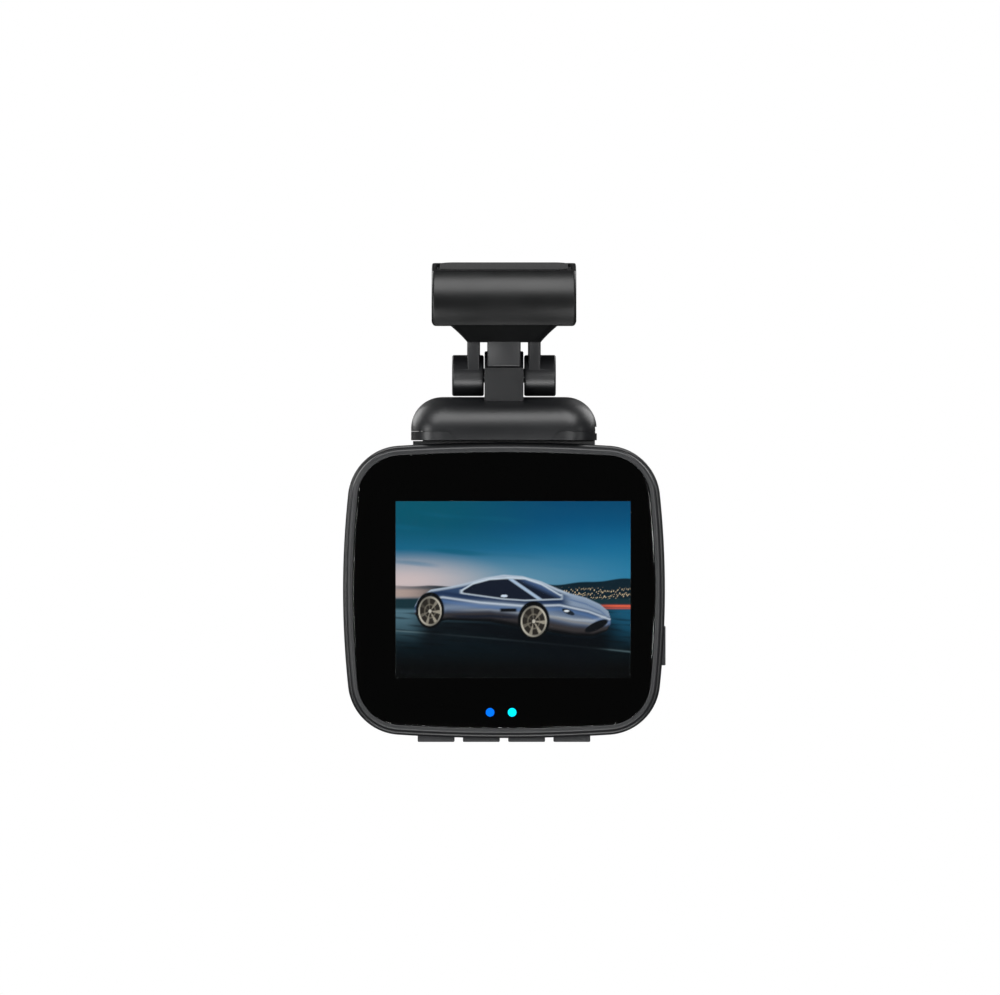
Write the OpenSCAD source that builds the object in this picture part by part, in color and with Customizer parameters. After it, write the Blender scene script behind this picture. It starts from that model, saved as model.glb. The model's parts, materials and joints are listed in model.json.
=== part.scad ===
// Dash camera on a hinged adhesive windscreen mount, in millimetres.
// +Z is up, the screen faces -Y, the lens faces +Y, and the origin is the centre of the pad's outer face.

/* [Camera body] */
// Width of the body at its widest
body_w = 67.2; // [66:0.2:90]
// Height of the body at its tallest
body_h = 61.7; // [60:0.1:84]
// Depth of the body without the lens
body_d = 26; // [25:0.5:36]
// Corner radius of the outline
corner_r = 11.2; // [9:0.2:14]
// Radius of the slightly bowed left and right sides
side_bow_r = 190; // [150:5:400]
// Radius of the slightly bowed top and bottom
top_bow_r = 350; // [250:10:600]
// Thickness of the housing's wall
wall = 1.8; // [1.4:0.1:2.2]
// Rounding of the housing's edge on the lens side
lens_edge_r = 6; // [4:0.5:7]
// Rounding of the housing's edge beside the screen bezel
edge_r = 0.7; // [0.4:0.1:0.9]

/* [Screen] */
// Depth of the screen bezel in front of the seam
bezel_d = 2.6; // [2.4:0.1:3.4]
// Width of the bezel outside the cover glass
bezel_w = 1.3; // [1:0.1:1.8]
// Thickness of the cover glass
glass_t = 1; // [0.7:0.1:1.2]
// Width of the display module
lcd_w = 58.6; // [56:0.1:59]
// Height of the display module
lcd_h = 42.7; // [40:0.1:44]
// Width of the lit picture
picture_w = 48.96; // [46:0.1:50]
// Height of the lit picture
picture_h = 36.72; // [34:0.1:38]
// Sideways offset of the lit picture from the middle
picture_x = 1.9; // [0:0.1:3]
// Radius of each indicator light
light_r = 0.9; // [0.6:0.1:1.2]

/* [Keys] */
// Width of each bottom key
key_w = 7.7; // [6:0.1:8.4]
// Depth of each key, front to back
key_d = 4.6; // [3:0.2:5]
// Distance between the bottom keys
key_pitch = 9.45; // [9.3:0.05:10.5]
// How far the bottom keys stand out
key_out = 0.85; // [0.5:0.05:1.5]
// Length of the side key
side_key_l = 8.2; // [6:0.2:10]
// How far the side key stands out
side_key_out = 0.5; // [0.4:0.1:1.2]
// Travel of every key
key_travel = 0.4; // [0.2:0.05:0.4]

/* [Lens] */
// Outer radius of the lens tube
tube_r = 11.6; // [11.4:0.1:13]
// How far the lens tube stands out
tube_out = 8; // [7:0.5:10]
// Radius of the lens holder's bore
lens_bore_r = 6; // [5.5:0.1:6.5]

/* [Card] */
// Length of the memory card
card_l = 15; // [15:1:15]
// Width of the memory card
card_w = 11; // [11:1:11]
// Thickness of the memory card
card_t = 1; // [0.8:0.1:1]

/* [Cradle] */
// Width of the cradle
cradle_w = 38.8; // [37:0.2:50]
// Depth of the cradle
cradle_d = 24; // [24:0.5:26]
// Height of the cradle
cradle_h = 9; // [8.8:0.1:11]
// Wall of the cradle cover
cradle_wall = 1.5; // [1.2:0.1:1.8]
// Gap between the cradle and the camera
dock_gap = 0.5; // [0.4:0.1:1]
// Half width of the dock rail's head
rail_y = 6.6; // [5.5:0.1:6.8]

/* [Mount] */
// Distance from the pad's face down to the hinge axis
hinge_drop = 23; // [22:0.5:30]
// Distance from the hinge axis down to the cradle's top
hinge_rise = 4.5; // [4.5:0.1:5.5]
// Radius of the hinge barrels
barrel_r = 4.3; // [3.8:0.1:4.3]
// Radius of the hinge screw
screw_r = 1.5; // [1.2:0.05:1.6]
// Width of the head block
head_w = 30.2; // [28:0.2:40]
// Height of the head block
head_h = 12.5; // [12:0.5:14]
// Slope of the pad's face
pad_slope = 6; // [0:1:8]
// Depth of the adhesive pad
pad_d = 15.4; // [12:0.2:16]
// Thickness of the adhesive pad
pad_t = 0.8; // [0.5:0.1:1.2]

/* [Hidden] */

$fn = 48;
clear = 0.15; // play around keys and in slots
run = 0.05; // running clearance of the hinge screw
eps = 1; // how far a cut runs past a face

// Levels along Z
hinge_z = -hinge_drop;
cradle_top = hinge_z - hinge_rise;
cradle_bot = cradle_top - cradle_h;
body_top = cradle_bot - dock_gap;
body_cz = body_top - body_h/2;
body_bot = body_top - body_h;

// Levels along Y, from the screen to the lens
face_y = -body_d/2;
back_y = body_d/2;
back_in = back_y - wall;
glass_y = face_y + 0.2;
mask_y = glass_y + glass_t;
mask_t = 0.1;
cell_y = mask_y + mask_t;
cell_t = 1.2;
tape_t = 0.2;
backlight_t = 1.1;
flex_t = 0.2;
seam_y = face_y + bezel_d;
frame_y = cell_y + cell_t + backlight_t + flex_t;
frame_t = 1;
post_h = 1.2;
board_y = frame_y + frame_t + post_h;
board_t = 1.2;
parts_y = board_y + board_t;

// Corner centres of the outline: where a corner arc meets both bowed sides smoothly
function corner_c(n, c) = n == 0 ? c : corner_c(n - 1, [
    body_w/2 - side_bow_r + sqrt(pow(side_bow_r - corner_r, 2) - c.y*c.y),
    body_h/2 - top_bow_r + sqrt(pow(top_bow_r - corner_r, 2) - c.x*c.x)]);
cc = corner_c(8, [body_w/2 - corner_r, body_h/2 - corner_r]);
side_a = asin(cc.y/(side_bow_r - corner_r));
top_a = asin(cc.x/(top_bow_r - corner_r));

// Points of an arc, without its last one
function arc(c, r, a0, a1, n) = [for (i = [0 : n - 1])
    let (a = a0 + (a1 - a0)*i/n) [c.x + r*cos(a), c.y + r*sin(a)]];
// Points of a curve that leaves p0 towards p1 and ends at p2
function bend(p0, p1, p2, n) = [for (i = [0 : n])
    let (t = i/n) (1 - t)*(1 - t)*p0 + 2*t*(1 - t)*p1 + t*t*p2];
// The body's outline, moved inwards by t, in X and Z about the body's centre
function outline(t) = concat(
    arc([body_w/2 - side_bow_r, 0], side_bow_r - t, -side_a, side_a, 2),
    arc([cc.x, cc.y], corner_r - t, side_a, 90 - top_a, 7),
    arc([0, body_h/2 - top_bow_r], top_bow_r - t, 90 - top_a, 90 + top_a, 2),
    arc([-cc.x, cc.y], corner_r - t, 90 + top_a, 180 - side_a, 7),
    arc([side_bow_r - body_w/2, 0], side_bow_r - t, 180 - side_a, 180 + side_a, 2),
    arc([-cc.x, -cc.y], corner_r - t, 180 + side_a, 270 - top_a, 7),
    arc([0, top_bow_r - body_h/2], top_bow_r - t, 270 - top_a, 270 + top_a, 2),
    arc([cc.x, -cc.y], corner_r - t, 270 + top_a, 360 - side_a, 7));
// Half width of the body at height z from its centre, and half height at x, moved inwards by t
function side_x(z, t) = body_w/2 - side_bow_r + sqrt(pow(side_bow_r - t, 2) - z*z);
function top_z(x, t) = body_h/2 - top_bow_r + sqrt(pow(top_bow_r - t, 2) - x*x);
// The same for the straight segments that the bowed sides are drawn with: the level a flange can rest behind
function side_flat(z, t) = let (r = side_bow_r - t)
    body_w/2 - t - r*(1 - cos(side_a))*z/(r*sin(side_a));
function top_flat(x, t) = let (r = top_bow_r - t)
    body_h/2 - t - r*(1 - cos(top_a))*x/(r*sin(top_a));
// A rectangle w by h with corner radius r
function round_rect(w, h, r) = concat(
    arc([w/2 - r, h/2 - r], r, 0, 90, 8), [[w/2 - r, h/2]],
    arc([r - w/2, h/2 - r], r, 90, 180, 8), [[-w/2, h/2 - r]],
    arc([r - w/2, r - h/2], r, 180, 270, 8), [[r - w/2, -h/2]],
    arc([w/2 - r, r - h/2], r, 270, 360, 8), [[w/2, r - h/2]]);

// A flat shape in X and Z, given depth from y0 to y1
module slab(y0, y1) translate([0, y1, 0]) rotate([90, 0, 0]) linear_extrude(y1 - y0) children();
// A flat shape in Y and Z, given width from x0 to x1
module across(x0, x1) translate([x0, 0, 0]) rotate([90, 0, 90]) linear_extrude(x1 - x0) children();
module rod_x(y, z, r, x0, x1) translate([x0, y, z]) rotate([0, 90, 0]) cylinder(r = r, h = x1 - x0);
module rod_y(x, z, r, y0, y1) translate([x, y1, z]) rotate([90, 0, 0]) cylinder(r = r, h = y1 - y0);
module rod_z(x, y, r, z0, z1) translate([x, y, z0]) cylinder(r = r, h = z1 - z0);
module block(a, b) translate(a) cube(b - a);
// A block round the middle of its X and Z, from y0 to y1
module chip(x, z, w, h, y0, y1) block([x - w/2, y0, z - h/2], [x + w/2, y1, z + h/2]);
// A long hole with round ends along X, from y0 to y1
module slot_y(x, z, l, r, y0, y1) {
    rod_y(x - l/2 + r, z, r, y0, y1);
    rod_y(x + l/2 - r, z, r, y0, y1);
    chip(x, z, l - 2*r, 2*r, y0, y1);
}
// The body's outline as a slab, moved inwards by t
module body_slab(t, y0, y1) slab(y0, y1) translate([0, body_cz]) polygon(outline(t));

// Mount ------------------------------------------------------------------
arc_r = 10.4; // roundness of the head's front and back
arc_h = 9.7; // its centre's depth under the pad's face
top_half = 8.5; // half depth of the head's sloped top
arc_y = top_half - sqrt(arc_r*arc_r - arc_h*arc_h);
function tilted(y, z) = [y*cos(pad_slope) - z*sin(pad_slope), y*sin(pad_slope) + z*cos(pad_slope)];
front_c = tilted(-arc_y, -arc_h);
rear_c = tilted(arc_y, -arc_h);
arc_end = asin(arc_h/arc_r);
arm_in = 5; // inner face of each arm
arm_out = 7.7; // outer face of each arm
barrel_in = 4.2; // inner end of each barrel
barrel_out = 10.85; // outer end of each barrel
knuckle_x = 4.07; // half width of the centre knuckle
knuckle_r = 5.1; // radius of the centre knuckle
neck_bot = -(head_h + 3.5); // underside of the neck
neck_y = 7.2; // half depth of the neck's underside
tongue_x = 3.5; // half width of the stop tongue
tongue_y = -(knuckle_r + 0.4); // its inner face
stop_z = hinge_z + 1.6; // top of the knuckle's flat front
stop_gap = 0.2; // gap between the tongue and the knuckle's flat front
screw_head_r = 2.75;
screw_head_h = 2;
cap_w = 28.4;
cap_d = 16.6;
cap_t = 1.1;
cap_gap = 0.1;

module head_profile() polygon(concat(
    arc(front_c, arc_r, 180 - asin((-head_h - front_c.y)/arc_r), 180 - arc_end + pad_slope, 14),
    [tilted(-top_half, 0), tilted(top_half, 0)],
    arc(rear_c, arc_r, arc_end + pad_slope, asin((-head_h - rear_c.y)/arc_r), 14),
    [rear_c + arc_r*[cos(asin((-head_h - rear_c.y)/arc_r)), 0] + [0, -head_h - rear_c.y]]));
module neck_side(half0, half1, mid) polygon(concat(
    bend([half0, -head_h], [mid, neck_bot + 1.2], [half1, neck_bot], 6),
    bend([-half1, neck_bot], [-mid, neck_bot + 1.2], [-half0, -head_h], 6),
    [[-half0, 1 - head_h], [half0, 1 - head_h]]));
// A rounded plate under the pad's sloped face, from depth d0 down to d1
module pad_plate(w, d, r, d0, d1) rotate([pad_slope, 0, 0]) translate([0, 0, -d1])
    linear_extrude(d1 - d0) polygon(round_rect(w, d, r));

module mount_head() color("#202123") {
    difference() {
        across(-head_w/2, head_w/2) head_profile();
        pad_plate(cap_w + 2*cap_gap, cap_d + 2*cap_gap, 3.7, -eps, pad_t + cap_t);
        pad_plate(cap_w - 3, cap_d - 3, 2.5, 0, 7);
        rotate([pad_slope, 0, 0]) block([-head_w, -20, -pad_t - 0.4], [head_w, 20, eps]);
    }
    intersection() {
        slab(-11, 11) neck_side(11.25, 7.7, 10.2);
        across(-12, 12) neck_side(10.6, neck_y, 9.6);
    }
    block([-tongue_x, tongue_y - 1.7, stop_z + stop_gap], [tongue_x, tongue_y, neck_bot + 1.2]);
    difference() {
        for (s = [-1, 1]) {
            block([s*(arm_in + arm_out)/2 - (arm_out - arm_in)/2, -barrel_r, hinge_z],
                [s*(arm_in + arm_out)/2 + (arm_out - arm_in)/2, barrel_r, neck_bot + 0.5]);
            rod_x(0, hinge_z, barrel_r, min(s*barrel_in, s*barrel_out), max(s*barrel_in, s*barrel_out));
        }
        rod_x(0, hinge_z, screw_r + run, -20, 20);
        rod_x(0, hinge_z, screw_head_r + run, -20, screw_head_h + 0.4 - barrel_out);
        rod_x(0, hinge_z, nut_r + run, barrel_out - nut_t - 0.3, 20);
    }
}
nut_r = 3.1; // radius of the nut across its corners
nut_t = 2.4; // its thickness
module head_cap() color("#2a2b2d") pad_plate(cap_w, cap_d, 3.7, pad_t, pad_t + cap_t);
module adhesive_pad() color("#151515") pad_plate(cap_w - 1.6, pad_d, 3, 0, pad_t);
module hinge_screw() color("#9a9da0") {
    rod_x(0, hinge_z, screw_r, -barrel_out + screw_head_h, barrel_out - 0.5);
    difference() {
        rod_x(0, hinge_z, screw_head_r, -barrel_out, -barrel_out + screw_head_h);
        for (t = [0, 90]) translate([-barrel_out, 0, hinge_z]) rotate([t, 0, 0])
            cube([2, 0.7, 3.2], center = true);
    }
}
module hinge_nut() color("#8d9093") difference() {
    translate([barrel_out - nut_t - 0.3, 0, hinge_z]) rotate([0, 90, 0]) cylinder(r = nut_r, h = nut_t, $fn = 6);
    rod_x(0, hinge_z, screw_r + 0.02, 0, 20);
}
module wave_washer() color("#8d9093") difference() {
    rod_x(0, hinge_z, screw_head_r - 0.1, screw_head_h - barrel_out, screw_head_h + 0.4 - barrel_out);
    rod_x(0, hinge_z, screw_r + 0.02, -20, 0);
}

// Cradle -----------------------------------------------------------------
front_round = 9; // roundness of the cradle's front and back
end_round = 6.5; // roundness of its ends
plan_r = 7; // corner radius from above
skirt_z = cradle_bot + 1.9; // seam between cover and plate at the ends
skirt_x = cradle_w/2 - 7.9; // where the seam turns down
tab_x = skirt_x - 1.7; // where it reaches the underside
seam = 0.1;
channel_z = cradle_bot + 1.4; // underside of the wide part of the channel
roof_z = channel_z + 1.4; // its roof
shelf_z = roof_z + 1.2; // top of the plate, where the board lies
rail_neck = rail_y - 2.1;
channel_gap = 0.2;
cradle_screw = [13, 8.6];
gps_t = 0.8;
pin_n = 5;
pin_pitch = 2.4;

module cradle_form(t) hull() for (k = [0 : 6]) {
    z = (cradle_h - t)*sin(15*k);
    in_y = (front_round - t)*(1 - cos(15*k));
    over = max(0, z - (cradle_h - end_round));
    in_x = end_round - t - sqrt(max(0, pow(end_round - t, 2) - over*over));
    half_y = cradle_d/2 - t - in_y;
    translate([0, 0, cradle_bot + z - 0.01]) linear_extrude(0.01)
        polygon(round_rect(cradle_w - 2*t - 2*in_x, 2*half_y, min(plan_r, half_y - 0.3)));
}
module skirt_side(g) for (s = [-1, 1]) polygon([
    [s*(tab_x + g), cradle_bot - eps], [s*(tab_x + g), cradle_bot], [s*(skirt_x + g), skirt_z - g],
    [s*cradle_w, skirt_z - g], [s*cradle_w, cradle_bot - eps]]);
module hinge_knuckle() difference() {
    union() {
        rod_x(0, hinge_z, knuckle_r, -knuckle_x, knuckle_x);
        block([-knuckle_x, tongue_y - 1.3, cradle_top - 1.5], [knuckle_x, 0, stop_z]);
        block([-knuckle_x, 0, cradle_top - 1.2], [knuckle_x, knuckle_r, hinge_z]);
    }
    rod_x(0, hinge_z, screw_r + run, -20, 20);
}
module cradle_cover() color("#1d1e20") {
    difference() {
        union() {
            difference() {
                cradle_form(0);
                cradle_form(cradle_wall);
            }
            intersection() {
                cradle_form(0);
                for (x = [-1, 1], y = [-1, 1])
                    rod_z(x*cradle_screw.x, y*cradle_screw.y, 1.9, shelf_z, cradle_top);
            }
        }
        slab(-20, 20) skirt_side(0);
        block([-cradle_w, -cradle_d, cradle_bot - eps], [cradle_w, cradle_d, cradle_bot + 0.01]);
        block([2 - cradle_w/2, -rail_y - channel_gap, cradle_bot - eps],
            [cradle_w, rail_y + channel_gap, roof_z]);
        for (x = [-1, 1], y = [-1, 1])
            rod_z(x*cradle_screw.x, y*cradle_screw.y, 0.9, cradle_bot, shelf_z + 1.4);
    }
    hinge_knuckle();
}
module cradle_plate() color("#1a1b1d") difference() {
    union() {
        intersection() {
            cradle_form(0);
            slab(-20, 20) skirt_side(seam);
        }
        intersection() {
            cradle_form(cradle_wall + seam);
            block([-cradle_w, -cradle_d, cradle_bot], [cradle_w, cradle_d, shelf_z]);
        }
    }
    block([2 - cradle_w/2, -rail_neck - channel_gap, cradle_bot - eps],
        [cradle_w, rail_neck + channel_gap, channel_z + 0.1]);
    block([2 - cradle_w/2, -rail_y - channel_gap, channel_z], [cradle_w, rail_y + channel_gap, roof_z]);
    for (x = [-1, 1], y = [-1, 1]) {
        rod_z(x*cradle_screw.x, y*cradle_screw.y, 0.95, cradle_bot - eps, cradle_top);
        rod_z(x*cradle_screw.x, y*cradle_screw.y, 1.75, cradle_bot - eps, cradle_bot + 0.9);
    }
    for (k = [0 : pin_n - 1]) rod_z(pin_x(k), 0, 0.5, roof_z - eps, shelf_z + eps);
}
function pin_x(k) = (k - (pin_n - 1)/2)*pin_pitch;
module gps_board() color("#1d5a37") block([-15, -6.3, shelf_z], [15, 6.3, shelf_z + gps_t]);
module gps_antenna() color("#d8c9a8") block([-11, -5, shelf_z + gps_t], [-1, 5, shelf_z + gps_t + 1.9]);
module contact_pins() color("#d4af37") for (k = [0 : pin_n - 1])
    rod_z(pin_x(k), 0, 0.5, roof_z - 0.05, shelf_z);
module cradle_screws() color("#777777") for (x = [-1, 1], y = [-1, 1]) {
    rod_z(x*cradle_screw.x, y*cradle_screw.y, 0.9, cradle_bot + 0.9, shelf_z + 1.4);
    rod_z(x*cradle_screw.x, y*cradle_screw.y, 1.7, cradle_bot, cradle_bot + 0.9);
}

// Camera shells ------------------------------------------------------------
frame_screw = [cc.x + 1.6, cc.y + 5.2];
frame_boss_r = 2.4;
rail_screw_x = 12;
lens_z = body_cz;
lens_hole_r = tube_r - 1.1;
sensor_post = 11;
sensor_y = back_y - 11;
card_z = body_cz + 5.9;
card_y = parts_y + 1.1;
card_x = -side_x(card_z - body_cz, 0) + 0.25;
usb_z = body_cz + 9.9;
usb_w = 8.94;
usb_h = 3.26;
usb_y = parts_y + usb_h/2;
usb_x = side_x(usb_z + usb_w/2 - body_cz, wall) - 0.2;
key_y = parts_y + 1.5;
side_key_z = body_cz - 11.6;
speaker_at = [cc.x - 4.6, 1.8 - cc.y];
speaker_r = 6.4;
light_z = body_bot + 5.4;
lights = [picture_x - 4.8, picture_x - 0.2];
key_flange_t = 0.7;
key_flange_z = body_cz - top_flat(1.5*key_pitch + key_w/2 + 0.6, wall) + clear;
switch_face = key_flange_z + key_flange_t + 0.95;
side_flange_t = 0.6;
side_flange_x = side_flat(11.6 + side_key_l/2 + 0.6, wall) - clear;
side_switch_x = side_flange_x - side_flange_t - 0.84;
function key_x(k) = (k - 1.5)*key_pitch;

// A side of the housing w long with its lens-side edges rounded, moved inwards by t
function housing_side(w, t) = concat(
    [[seam_y - t, w/2 - edge_r - t], [seam_y + edge_r - t, w/2 - t]],
    arc([back_y - lens_edge_r, w/2 - lens_edge_r], lens_edge_r - t, 90, 0, 5),
    [[back_y - t, w/2 - lens_edge_r], [back_y - t, lens_edge_r - w/2]],
    arc([back_y - lens_edge_r, lens_edge_r - w/2], lens_edge_r - t, 0, -90, 5),
    [[back_y - lens_edge_r, t - w/2], [seam_y + edge_r - t, t - w/2], [seam_y - t, edge_r + t - w/2]]);
module housing_form(t) intersection() {
    body_slab(t, seam_y - t, back_y - t);
    across(-body_w, body_w) translate([0, body_cz]) polygon(housing_side(body_h, t));
    translate([0, 0, body_cz - body_h]) linear_extrude(2*body_h) rotate(90) mirror([0, 1])
        polygon(housing_side(body_w, t));
}

module main_housing() color("#1f2022") difference() {
    union() {
        difference() {
            housing_form(0);
            housing_form(wall);
        }
        for (x = [-1, 1], z = [-1, 1]) {
            rod_y(x*frame_screw.x, body_cz + z*frame_screw.y, frame_boss_r, frame_y + frame_t, back_in + 0.3);
            rod_y(x*sensor_post, lens_z + z*sensor_post, 1.6, sensor_y, back_in + 0.5);
        }
        for (x = [-1, 1]) rod_z(x*rail_screw_x, 0, 2.5, body_top - 6, body_top - 1);
    }
    for (x = [-1, 1], z = [-1, 1])
        rod_y(x*frame_screw.x, body_cz + z*frame_screw.y, 0.95, frame_y, frame_y + 7);
    for (x = [-1, 1]) rod_z(x*rail_screw_x, 0, 1, body_top - 6.5, body_top + eps);
    rod_y(0, lens_z, lens_hole_r, sensor_y + 6, back_y + eps);
    for (k = [0 : 3]) block(
        [key_x(k) - key_w/2 - clear, key_y - key_d/2 - clear, body_bot - eps],
        [key_x(k) + key_w/2 + clear, key_y + key_d/2 + clear, key_flange_z]);
    block([side_flange_x, key_y - key_d/2 - clear, side_key_z - side_key_l/2 - clear],
        [body_w/2 + eps, key_y + key_d/2 + clear, side_key_z + side_key_l/2 + clear]);
    block([-body_w/2 - eps, card_y - card_t/2 - 0.35, card_z - card_w/2 - 0.4],
        [-side_x(15, wall) + eps, card_y + card_t/2 + 0.35, card_z + card_w/2 + 0.4]);
    rod_z(-body_w/2 - 1.6, card_y, 3.2, card_z - 3, card_z + 3);
    for (s = [-1, 1]) rod_x(usb_y, usb_z + s*(usb_w - usb_h)/2, usb_h/2 + 0.2, body_w/2 - 4, body_w/2 + eps);
    block([body_w/2 - 4, usb_y - usb_h/2 - 0.2, usb_z - (usb_w - usb_h)/2],
        [body_w/2 + eps, usb_y + usb_h/2 + 0.2, usb_z + (usb_w - usb_h)/2]);
    for (k = [-2 : 2]) slot_y(speaker_at.x, body_cz + speaker_at.y + 2.2*k, 10 - abs(k), 0.55,
        back_in - 0.5, back_y + eps);
    rod_z(0, parts_y + 0.6, 0.4, body_bot - eps, body_bot + wall + eps);
}
module screen_bezel() color("#2b2c2e") difference() {
    union() {
        hull() for (l = [[0, 1.4], [0.25, 1], [0.8, 0.75], [bezel_d, 0.7]])
            body_slab(edge_r - 0.7 + l[1], face_y + l[0] - 0.01, face_y + l[0]);
        difference() {
            body_slab(wall + 0.1, seam_y, frame_y);
            body_slab(wall + 1.1, seam_y - eps, frame_y + eps);
        }
    }
    body_slab(edge_r + bezel_w, face_y - eps, cell_y + tape_t);
    chip(0, body_cz + 0.2, lcd_w + 0.5, lcd_h + 0.5, face_y - eps, seam_y + eps);
    for (x = lights) rod_y(x, light_z, light_r + 0.15, face_y, seam_y + eps);
}
module glass_window(t, y0, y1) difference() {
    body_slab(edge_r + bezel_w + 0.1, y0, y1);
    for (x = lights) rod_y(x, light_z, light_r + t, y0 - eps, y1 + eps);
}
module screen_glass() color("#101214") body_slab(edge_r + bezel_w + 0.1, glass_y, mask_y);
module glass_mask() color("#0a0a0a") difference() {
    glass_window(0, mask_y, cell_y);
    chip(picture_x, body_cz + 0.2, picture_w + 0.2, picture_h + 0.2, mask_y - eps, cell_y + eps);
}
module glass_tape() color("#333333") difference() {
    glass_window(0.3, cell_y, cell_y + tape_t);
    chip(0, body_cz + 0.2, lcd_w + 0.9, lcd_h + 0.9, cell_y - eps, cell_y + eps);
}

// Screen and boards ----------------------------------------------------------
frame_post = [20, 17];
module lcd_panel() color("#2b4a5e") chip(0, body_cz + 0.2, lcd_w, lcd_h, cell_y, cell_y + cell_t);
module lcd_backlight() color("#dfe3e6") chip(0, body_cz + 0.2, lcd_w, lcd_h, cell_y + cell_t, frame_y - flex_t);
module lcd_flex() color("#c98a2b") {
    block([-lcd_w/2, frame_y - flex_t, body_cz - 9], [-8.8, frame_y, body_cz + 9]);
    block([-9, frame_y - flex_t, body_cz - 9], [-8.8, board_y, body_cz + 9]);
}
module mid_frame() color("#4a4d50") difference() {
    union() {
        body_slab(wall + 0.5, frame_y, frame_y + frame_t);
        for (x = [-1, 1], z = [-1, 1])
            rod_y(x*frame_post.x, body_cz + z*frame_post.y, 1.8, frame_y, board_y);
    }
    for (x = [-1, 1], z = [-1, 1]) {
        rod_y(x*frame_screw.x, body_cz + z*frame_screw.y, 1.05, frame_y - eps, frame_y + 2);
        rod_y(x*frame_post.x, body_cz + z*frame_post.y, 0.8, frame_y + 0.4, board_y + eps);
    }
    chip(-9, body_cz, 3, 19, frame_y - eps, frame_y + 2);
    chip(6, body_cz, 20, 26, frame_y - eps, frame_y + 2);
    for (x = lights) rod_y(x, light_z, 1.55, frame_y - eps, board_y);
}
module main_board() color("#17523a") difference() {
    intersection() {
        body_slab(wall + 2.1, board_y, parts_y);
        block([-body_w, board_y - eps, switch_face], [body_w, parts_y + eps, body_cz + 24]);
    }
    for (x = [-1, 1], z = [-1, 1]) {
        rod_y(x*frame_screw.x, body_cz + z*frame_screw.y, frame_boss_r + 0.4, board_y - eps, parts_y + eps);
        rod_y(x*frame_post.x, body_cz + z*frame_post.y, 0.85, board_y - eps, parts_y + eps);
    }
}
module processor() color("#26282b") chip(7, body_cz + 4, 12, 12, parts_y, parts_y + 1.2);
module memory_chip() color("#202224") chip(-7, body_cz + 4, 9, 11, parts_y, parts_y + 1);
module heat_pad() color("#7fa3b5") chip(7, body_cz + 4, 12, 12, parts_y + 1.2, parts_y + 2.2);
module heat_sink() color("#b9bcc0") {
    chip(2, body_cz + 4, 32, 24, parts_y + 2.2, parts_y + 3.4);
    for (k = [0 : 7]) chip(2 - 14 + 4*k, body_cz + 4, 1.2, 24, parts_y + 3.4, parts_y + 5.6);
}
module card_socket() color("#c4c7ca") difference() {
    block([-side_x(15, wall) + 0.3, parts_y, card_z - 7], [card_x + card_l + 1.8, parts_y + 1.9, card_z + 7]);
    block([-body_w/2, card_y - card_t/2 - 0.15, card_z - card_w/2 - 0.2],
        [card_x + card_l + 0.2, card_y + card_t/2 + 0.15, card_z + card_w/2 + 0.2]);
}
module bottom_switches() color("#d0d0d0") for (k = [0 : 3])
    block([key_x(k) - 3, parts_y, switch_face], [key_x(k) + 3, parts_y + 3, switch_face + 3.5]);
module side_switch() color("#d0d0d0")
    block([side_switch_x - 3.5, parts_y, side_key_z - 3], [side_switch_x, parts_y + 3, side_key_z + 3]);
module status_leds() color("#e8f4ff") for (x = lights) chip(x, light_z, 1.6, 1, board_y - 0.6, board_y);
module light_pipe(x) {
    rod_y(x, light_z, 1.4, seam_y + 0.1, board_y - 0.6);
    rod_y(x, light_z, light_r - 0.05, mask_y, seam_y + 0.1);
}
module left_light_pipe() color("#0078dc") light_pipe(lights[0]);
module right_light_pipe() color("#00dff5") light_pipe(lights[1]);
module usb_socket() color("#b8bbbe") difference() {
    union() {
        for (s = [-1, 1]) rod_x(usb_y, usb_z + s*(usb_w - usb_h)/2, usb_h/2, usb_x - 7.35, usb_x);
        block([usb_x - 7.35, usb_y - usb_h/2, usb_z - (usb_w - usb_h)/2],
            [usb_x, usb_y + usb_h/2, usb_z + (usb_w - usb_h)/2]);
    }
    difference() {
        union() {
            for (s = [-1, 1]) rod_x(usb_y, usb_z + s*(usb_w - usb_h)/2, usb_h/2 - 0.35, usb_x - 6, usb_x + eps);
            block([usb_x - 6, usb_y - usb_h/2 + 0.35, usb_z - (usb_w - usb_h)/2],
                [usb_x + eps, usb_y + usb_h/2 - 0.35, usb_z + (usb_w - usb_h)/2]);
        }
        block([usb_x - 7, usb_y - 0.35, usb_z - 3.3], [usb_x - 1, usb_y + 0.35, usb_z + 3.3]);
    }
}
module microphone() color("#c9b46a") block([-1.3, parts_y, switch_face + 0.2], [1.3, parts_y + 1.1, switch_face + 3.6]);

// Lens side ---------------------------------------------------------------
battery_x = -(sensor_post + 1.6 + 0.9 + 6.6);
window_y = back_y + tube_out - 1.4;
module battery() color("#5f7f9c") chip(battery_x, body_cz, 13.2, 30, back_in - 5.2, back_in - 0.2);
module battery_tape() color("#dddddd") chip(battery_x, body_cz, 11, 26, back_in - 0.2, back_in);
module speaker() color("#3a3a3c") {
    rod_y(speaker_at.x, body_cz + speaker_at.y, speaker_r, back_in - 4.3, back_in - 0.8);
    rod_y(speaker_at.x, body_cz + speaker_at.y, speaker_r - 3, back_in - 5.5, back_in - 4.3);
}
module speaker_gasket() color("#242424") difference() {
    rod_y(speaker_at.x, body_cz + speaker_at.y, speaker_r, back_in - 0.8, back_in);
    rod_y(speaker_at.x, body_cz + speaker_at.y, speaker_r - 1.2, back_in - 2, back_in + 1);
}
module wifi_antenna() color("#1f6b4a") block([cc.x - 7.4, back_in - 0.8, body_cz + cc.y - 5],
    [cc.x + 0.6, back_in, body_cz + cc.y + 0.9]);
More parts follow.
